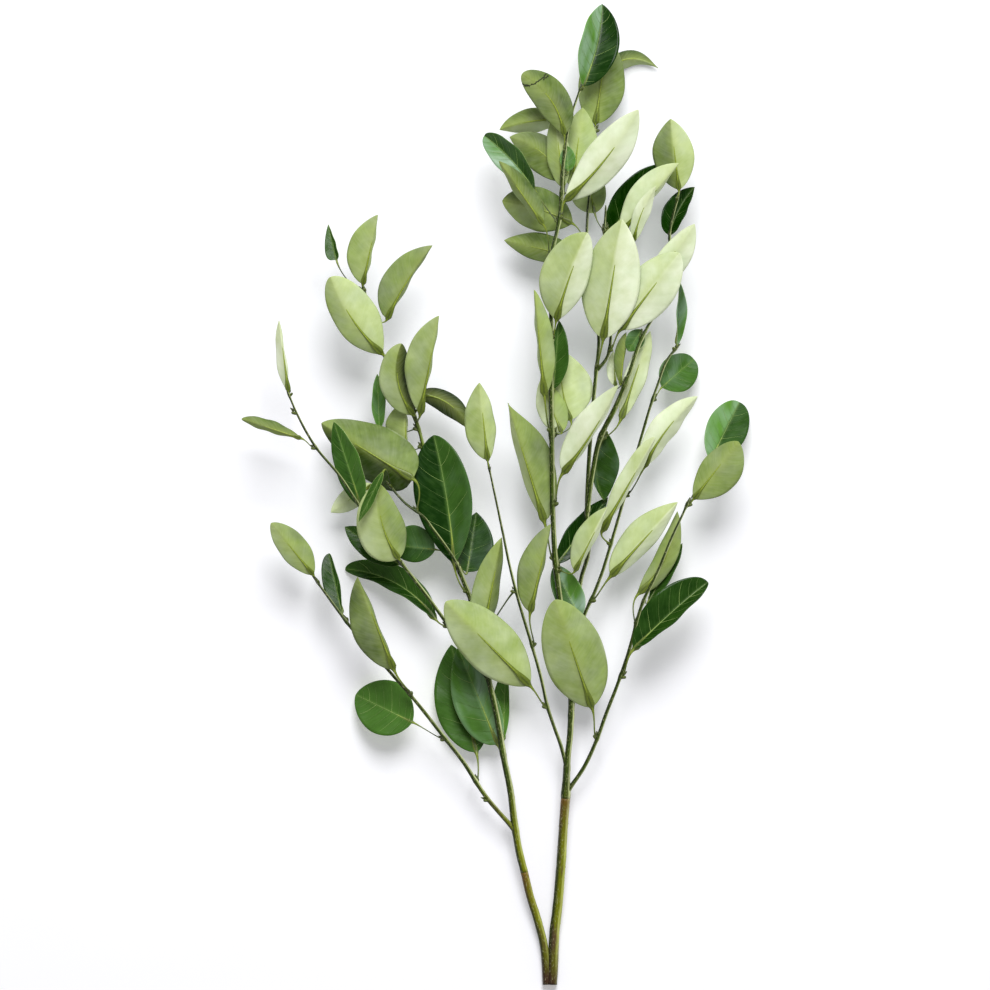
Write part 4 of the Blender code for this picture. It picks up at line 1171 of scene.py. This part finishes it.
def bark_object(name, runs, look, materials, seed, scars=(None,), **options):
    """One piece of wood from one or more runs. scars gives the height of each run's brown scar."""
    shape = Shape()
    tables = {key: [] for key in ("bark_place", "grain", "sunny", "girth", "scar")}
    for run, scar in zip(runs, scars):
        radii = [(place.y, place.w) for place in run]
        rings, flats, *found = bark_rings(run, look, seed, **options)
        shape.loft(rings, flats, lambda i: 0, start_slot=1)
        heights = [point.y for ring in rings for point in ring]
        found.append([read_off(radii, y) for y in heights])
        found.append([min(math.exp((y - scar) / SCAR_LENGTH), 1.0) if scar else 0.0 for y in heights])
        for key, values in zip(tables, found):
            tables[key] += values
    young, old = OLD_WOOD_Y
    heights = np.array([point.y for point in shape.points])
    # One twig's bark is paler and greener: its age is set below zero.
    tables["age"] = np.clip((young - heights) / (young - old), 0.0, 1.0) - (name == PALER_TWIG) * PALER_TWIG_SHARE
    return shape.build(name, materials, "bark", **tables)


def stand_for(piece, slot, *nodes):
    """The piece rides on the branch and stands for these nodes, which are hidden. slot is not used."""
    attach(piece, BODY)
    if nodes:
        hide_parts(*nodes)


def colour_setting(name, text, code):
    return bpy.props.FloatVectorProperty(
        name=name, description=text, subtype="COLOR", size=4, min=0.0, max=1.0, default=linear(code)
    )


def length_setting(name, text, default_mm):
    return bpy.props.FloatProperty(
        name=name, description=text, unit="LENGTH", subtype="DISTANCE", min=0.0, default=default_mm * MM
    )


class BranchLeafSettings(bpy.types.PropertyGroup):
    """Sizes and colours of the leaves."""

    thickness: length_setting("Thickness", "How thick a blade is", 0.45)
    wave_height: length_setting("Wave", "How far a blade's edge waves up and down", 0.7)
    vein_relief: length_setting("Vein relief", "How far a vein stands out of the lower side", 0.12)
    midrib_line: length_setting("Midrib line", "How wide the midrib is on the glossy side", 0.4)
    vein_line: length_setting("Vein line", "How wide a side vein is on the glossy side", 0.22)
    under_pale: colour_setting("Pale underside", "Lower side of the palest leaves", "#edf5d6")
    # Painted shadow on the darkest leaf halves
    under_painted_shadow: colour_setting("Darkest side", "Darkest parts of a leaf's underside", "#1c2c04")
    under_deep: colour_setting("Deep underside", "Lower side of the deepest leaves", "#365003")
    under_bright: colour_setting("Bright underside", "Lower side of the bright leaves", "#c5d497")
    under_middle: colour_setting("Middle underside", "Lower side of the other leaves", "#9bb062")
    under_near_midrib: colour_setting("By the midrib", "Lower side close to the midrib", "#a9b75c")
    upper_pale: colour_setting("Pale upper side", "Glossy side of the palest leaves", "#5a8836")
    upper_deep: colour_setting("Deep upper side", "Glossy side of the deepest leaves", "#0d2f00")
    vein: colour_setting("Vein", "Veins on the glossy side", "#a8c870")
    vein_deep: colour_setting("Deep vein", "Side veins on the deepest glossy sides", "#2f5a18")
    # The colour of the painted sheen, a pale bluish painted highlight, on some glossy sides
    bloom: colour_setting("Bloom", "Dusty bloom on some glossy sides", "#a9c2b2")
    midrib: colour_setting("Midrib", "Raised midrib on the lower side", "#9fb23a")
    # Painted shade on the raised midrib's flanks
    midrib_shaded_flank: colour_setting("Midrib's sides", "Raised midrib's sides", "#445513")
    stalk: colour_setting("Stalk", "Leaf stalks", "#3a481a")


class BranchWoodSettings(bpy.types.PropertyGroup):
    """Sizes and colours of the wood."""

    node_swell: length_setting("Node swelling", "How far bark swells where a leaf leaves it", 0.35)
    lenticel_length: length_setting("Spot length", "How long a raised spot of middling size is", 1.3)
    bud_length: length_setting("Bud length", "How long a bud by a leaf's stalk is", 4.2)
    knob_length: length_setting("Knob length", "How long the knob that carries a leaf's stalk is", 3.6)
    lenticels: bpy.props.FloatProperty(
        name="Spots per square metre", description="How many raised spots the bark has",
        min=0.0, default=14000.0,
    )
    bark_thin: colour_setting("Thin bark", "Bark of the thinnest twigs", "#324314")
    # Painted highlight on the side of the bark that faces the painted light
    bark_painted_highlight: colour_setting("Sunny bark", "Bark on the side that faced the sun", "#c6cf94")
    bark_dark: colour_setting("Dark bark", "Dark streaks and the shaded side of the bark", "#182507")
    bark_green: colour_setting("Green bark", "Young bark", "#44590f")
    # Paler, greener bark of one twig
    bark_paler_twig: colour_setting("Fresh bark", "Bark of the freshest twig", "#86a03c")
    # Painted highlight on the old bark's side that faces the painted light
    old_bark_painted_highlight: colour_setting("Sunny old bark", "Sunny edge of the old bark", "#bcc45e")
    bark_old_green: colour_setting("Old green bark", "Green of the oldest bark", "#6d7403")
    bark_brown: colour_setting("Brown bark", "Brown of the oldest bark", "#57452a")
    bark_grey: colour_setting("Grey bark", "Pale specks of the bark", "#b3b483")
    bud: colour_setting("Bud", "Buds by the stalks", "#303c10")
    knob: colour_setting("Knob", "Knobs that carry the stalks", "#414f18")
    spot: colour_setting("Spot", "Raised spots of the bark", "#8b8a5c")


class BranchStageSettings(bpy.types.PropertyGroup):
    """The floor, the light and the camera."""

    floor: colour_setting("Floor", "Colour of the floor", "#ececf0")
    floor_glow: bpy.props.FloatProperty(
        name="Floor glow", description="How brightly the floor shines by itself", min=0.0, default=0.28
    )
    camera_height: length_setting("Camera height", "How high above the floor the camera is", 8000.0)
    view_width: length_setting("View width", "How much of the branch's level the picture spans", 742.5)
    level: length_setting("Level", "The height at which the view width is measured", 50.0)


class BRANCH_OT_wood(bpy.types.Operator):
    """Makes the forked base, the stems and the twigs with their bark"""

    bl_idname = "branch.wood"
    bl_label = "Wood"

    def execute(self, context):
        look = context.scene.branch_wood
        materials = [smooth_bark(look), fresh_cut_wood()]
        legs = [smooth_run(leg, STEM_STEPS) for leg in BASE_LEGS]
        base = bark_object("bark_stem_base", legs, look, materials, seed=0.0, scars=SCARS)
        stand_for(base, "bark", "stem_base")
        for number, twig in enumerate(TWIGS):
            made = bark_object(
                f"bark_{twig.name}", [RUNS[twig.name]], look, materials, swells=swell_places(twig.name),
                seed=number * SEED_STEP if twig.parent else 0.0,
                parent_radius=place_on(RUNS[twig.parent], twig.parent_y)[2] if twig.parent else 0.0,
            )
            stand_for(made, "bark", twig.name)
        return {"FINISHED"}


class BRANCH_OT_lenticels(bpy.types.Operator):
    """Scatters small raised spots over all the bark"""

    bl_idname = "branch.lenticels"
    bl_label = "Bark spots"

    def execute(self, context):
        look = context.scene.branch_wood
        spot = plain_tissue("corky_spot", look.spot, 0.7, 1.0, "#6a6a3c", 0.6)
        made = run_tree("bark_spots", self.all_bark(), lenticel_tree(), {
            "Density": look.lenticels, "Seed": SPOT_SEED, "Length": look.lenticel_length, "Material": spot,
        })
        stand_for(made, "bark")
        return {"FINISHED"}

    def all_bark(self):
        """One mesh of all the bark, with its grain."""
        points, faces, grain = [], [], []
        for mesh in [o.data for o in bpy.data.objects if o.name.startswith(("bark_stem", "bark_twig"))]:
            first = len(points)
            points += [tuple(v.co) for v in mesh.vertices]
            faces += [tuple(first + i for i in face.vertices) for face in mesh.polygons]
            grain += [tuple(value.vector) for value in mesh.attributes["grain"].data]
        joined = new_mesh("all_bark", points, faces=faces)
        write(joined, grain=grain)
        return joined


class BRANCH_OT_buds(bpy.types.Operator):
    """Puts a knob where each leaf's stalk leaves its twig, and a pointed bud in the angle above it"""

    bl_idname = "branch.buds"
    bl_label = "Knobs and buds"

    def execute(self, context):
        look = context.scene.branch_wood
        chance = random.Random(BUD_SEED)
        spots = [(leaf.twig, leaf.twig_y, Vector(leaf.base)) for leaf in LEAVES]
        for twig, y, way in BARE_KNOBS:
            spots.append((twig, y, place_on(RUNS[twig], y)[0] + Vector(way) * BARE_KNOB_REACH))
        buds, knobs = [], []
        for twig, y, goal in spots:
            place, ahead, outward, radius = stalk_root(twig, y, goal)
            buds.append((
                (place + outward * (radius * BUD_OUT + BUD_GAP) + ahead * BUD_UP) * MM,
                (ahead + outward * chance.uniform(*BUD_LEANS)).normalized(),
                look.bud_length * chance.uniform(*BUD_SIZES),
            ))
            knobs.append((
                (place + outward * radius * KNOB_OUT - ahead * KNOB_DOWN) * MM,
                (outward + ahead * chance.uniform(*KNOB_LEANS)).normalized(),
                look.knob_length * chance.uniform(*KNOB_SIZES) + radius * KNOB_GIRTH * MM,
            ))
        scales = plain_tissue("bud_scales", look.bud, 0.45, 0.8, "#64702c", 0.6)
        bark = plain_tissue("knob_bark", look.knob, 0.4, 1.2, "#7c883c", 0.5)
        self.scatter("axil_buds", buds, BUD, BUD_FLATNESS, scales)
        self.scatter("leaf_knobs", knobs, KNOB, 1.0, bark)
        return {"FINISHED"}

    def scatter(self, name, rows, profile, flat, material):
        """One piece of many copies of a turned shape. Each row is a copy's place, way and size."""
        points, ways, sizes = zip(*rows)
        mesh = new_mesh(f"{name}_points", points)
        write(mesh, pointing=ways, bud_size=sizes)
        one = self.turned_shape(profile, flat)
        made = run_tree(name, mesh, bud_tree(), {"Bud": one, "Material": material})
        bpy.data.objects.remove(one)
        stand_for(made, "bark")

    def turned_shape(self, profile, flat):
        """A shape one unit long from heights and radii, flattened a little."""
        shape = Shape()
        turns = [math.tau * k / BUD_SIDES for k in range(BUD_SIDES)]
        rings = []
        for z, r in profile:
            rings.append([Vector((math.cos(a) * r, math.sin(a) * r * flat, z)) / MM for a in turns])
        shape.loft(rings, [[(0.0, z)] * BUD_SIDES for z, _ in profile], lambda i: 0)
        return shape.build("one_shape", [], "bud")


class BRANCH_OT_leaves(bpy.types.Operator):
    """Makes every leaf: its blade, its midrib and its stalk, and the veins on the glossy sides"""

    bl_idname = "branch.leaves"
    bl_label = "Leaves"

    def execute(self, context):
        look = context.scene.branch_leaf
        materials = [waxy_underside(look), glossy_upper_side(look), fibrous_midrib(look)]
        chance = random.Random(LEAF_SEED)
        veins, cracks = [], []
        for leaf in LEAVES:
            blade = Blade(leaf, look, chance)
            shape = Shape()
            blade_shape(shape, blade, look, upper_slot=1, under_slot=0)
            midrib_shape(shape, blade, slot=2)
            right = [place[0] >= 0.5 for place in shape.places]
            # Each half's tone, mostly painted light and shade, and its painted sheen
            tones = LIT_AND_SHADED_HALVES.get(leaf.name, (leaf.tone, leaf.tone))
            sheens = PAINTED_SHEENS.get(leaf.name, (0.0, 0.0))
            made = shape.build(
                f"olive_leaf_{leaf.name}", materials, "leaf",
                shift=[chance.uniform(*LEAF_SHIFTS)] * len(right),
                tone=[tones[half] for half in right], bloom=[sheens[half] for half in right],
            )
            nodes = {f"leaf_{leaf.name}"} & NODES
            stand_for(made, "leaf_under" if blade.under == 1 else "leaf_upper", *nodes)
            veins += vein_lines(blade, look)
            if leaf.name == CRACKED:
                cracks += crack_lines(blade, look, random.Random(CRACK_SEED))
        stand_for(self.ribs("leaf_veins", veins, leaf_vein(look)), "leaf_upper")
        dry = plain_tissue("dry_crack", "#26331a", 0.8, 1.0, "#4a4a26", 0.5)
        stand_for(self.ribs("leaf_crack", cracks, dry), "leaf_under")
        return {"FINISHED"}

    def ribs(self, name, lines, material):
        """One piece of all these lines: each is points, radii and a paleness."""
        points, edges, radii, paleness = [], [], [], []
        for places, widths, pale in lines:
            first = len(points)
            points += [place * MM for place in places]
            edges += [(first + i, first + i + 1) for i in range(len(places) - 1)]
            radii += [width * MM for width in widths]
            paleness += [pale] * len(places)
        mesh = new_mesh(f"{name}_lines", points, edges)
        write(mesh, rib_radius=radii, paleness=paleness)
        return run_tree(name, mesh, rib_tree(), {"Sides": RIB_SIDES, "Material": material})


class BRANCH_OT_stage(bpy.types.Operator):
    """Makes the pale floor, the soft light and the camera that looks down on the branch"""

    bl_idname = "branch.stage"
    bl_label = "Stage"

    def execute(self, context):
        scene = context.scene
        settings = scene.branch_stage
        self.make_floor(settings)
        self.make_light(scene)
        self.make_camera(scene, settings)
        scene.view_settings.view_transform = "Standard"
        return {"FINISHED"}

    def make_floor(self, settings):
        corners = [(x * FLOOR_REACH, y * FLOOR_REACH, 0.0) for x, y in ((-1, -1), (1, -1), (1, 1), (-1, 1))]
        mesh = new_mesh("floor", corners, faces=[(0, 1, 2, 3)])
        mesh.materials.append(self.matt_paper_floor(settings))
        link("floor", mesh)

    def matt_paper_floor(self, settings):
        """Paper: matt, evenly lit and very faintly cloudy."""
        made, tree = start_material("matt_paper_floor")
        colour = layered(tree, settings.floor, ("#e2e2e7", mottle(tree, 60, 2.0), 0.3, 0.7, 0.0, 0.04))
        return finish_material(made, {
            "Base Color": colour, "Emission Color": colour, "Emission Strength": settings.floor_glow,
            "Roughness": 0.9,
        })

    def make_light(self, scene):
        world = bpy.data.worlds.new("studio")
        world.use_nodes = True
        background = world.node_tree.nodes["Background"]
        fill(world.node_tree, background, {"Color": (1.0, 1.0, 1.0, 1.0), "Strength": WORLD_LIGHT})
        scene.world = world
        self.make_lamp(*KEY_LIGHT)
        side = self.make_lamp(*RIGHT_LIGHT)
        side.visible_glossy = False
        self.spare_floor(side)

    def make_lamp(self, name, place, size, power):
        lamp = bpy.data.lights.new(name, "AREA")
        lamp.size = size
        lamp.energy = power
        made = link(name, lamp)
        made.location = place
        made.rotation_euler = (-Vector(place)).to_track_quat("-Z", "Y").to_euler()
        made.visible_camera = False
        return made

    def spare_floor(self, lamp):
        """Keeps a lamp's light off the floor, so it shapes the leaves and throws no second shadow."""
        spared = bpy.data.collections.new("spared_floor")
        spared.objects.link(bpy.data.objects["floor"])
        lamp.light_linking.receiver_collection = spared
        spared.collection_objects[0].light_linking.link_state = "EXCLUDE"

    def make_camera(self, scene, settings):
        camera = bpy.data.cameras.new("camera")
        reach = settings.camera_height - settings.level
        camera.lens = camera.sensor_width * reach / settings.view_width
        camera.clip_end = CAMERA_RANGE
        made = link("camera", camera)
        made.location = (0.0, 0.0, settings.camera_height)
        scene.camera = made


class BRANCH_PT_panel(bpy.types.Panel):
    """Lists the branch's pieces in the sidebar"""

    bl_idname = "BRANCH_PT_panel"
    bl_label = "Olive Branch"
    bl_space_type = "VIEW_3D"
    bl_region_type = "UI"
    bl_category = "Branch"

    def draw(self, context):
        for operator in OPERATORS:
            self.layout.operator(operator.bl_idname)


OPERATORS = (BRANCH_OT_wood, BRANCH_OT_lenticels, BRANCH_OT_buds, BRANCH_OT_leaves, BRANCH_OT_stage)
GROUPS = {
    "branch_leaf": BranchLeafSettings, "branch_wood": BranchWoodSettings, "branch_stage": BranchStageSettings,
}


def register():
    for item in (*GROUPS.values(), *OPERATORS, BRANCH_PT_panel):
        bpy.utils.register_class(item)
    for name, group in GROUPS.items():
        setattr(bpy.types.Scene, name, bpy.props.PointerProperty(type=group))


def unregister():
    for name in GROUPS:
        delattr(bpy.types.Scene, name)
    for item in (BRANCH_PT_panel, *OPERATORS, *GROUPS.values()):
        bpy.utils.unregister_class(item)


def main():
    register()
    bpy.ops.branch.wood()
    bpy.ops.branch.lenticels()
    bpy.ops.branch.buds()
    bpy.ops.branch.leaves()
    bpy.ops.branch.stage()


if __name__ == "__main__":
    main()
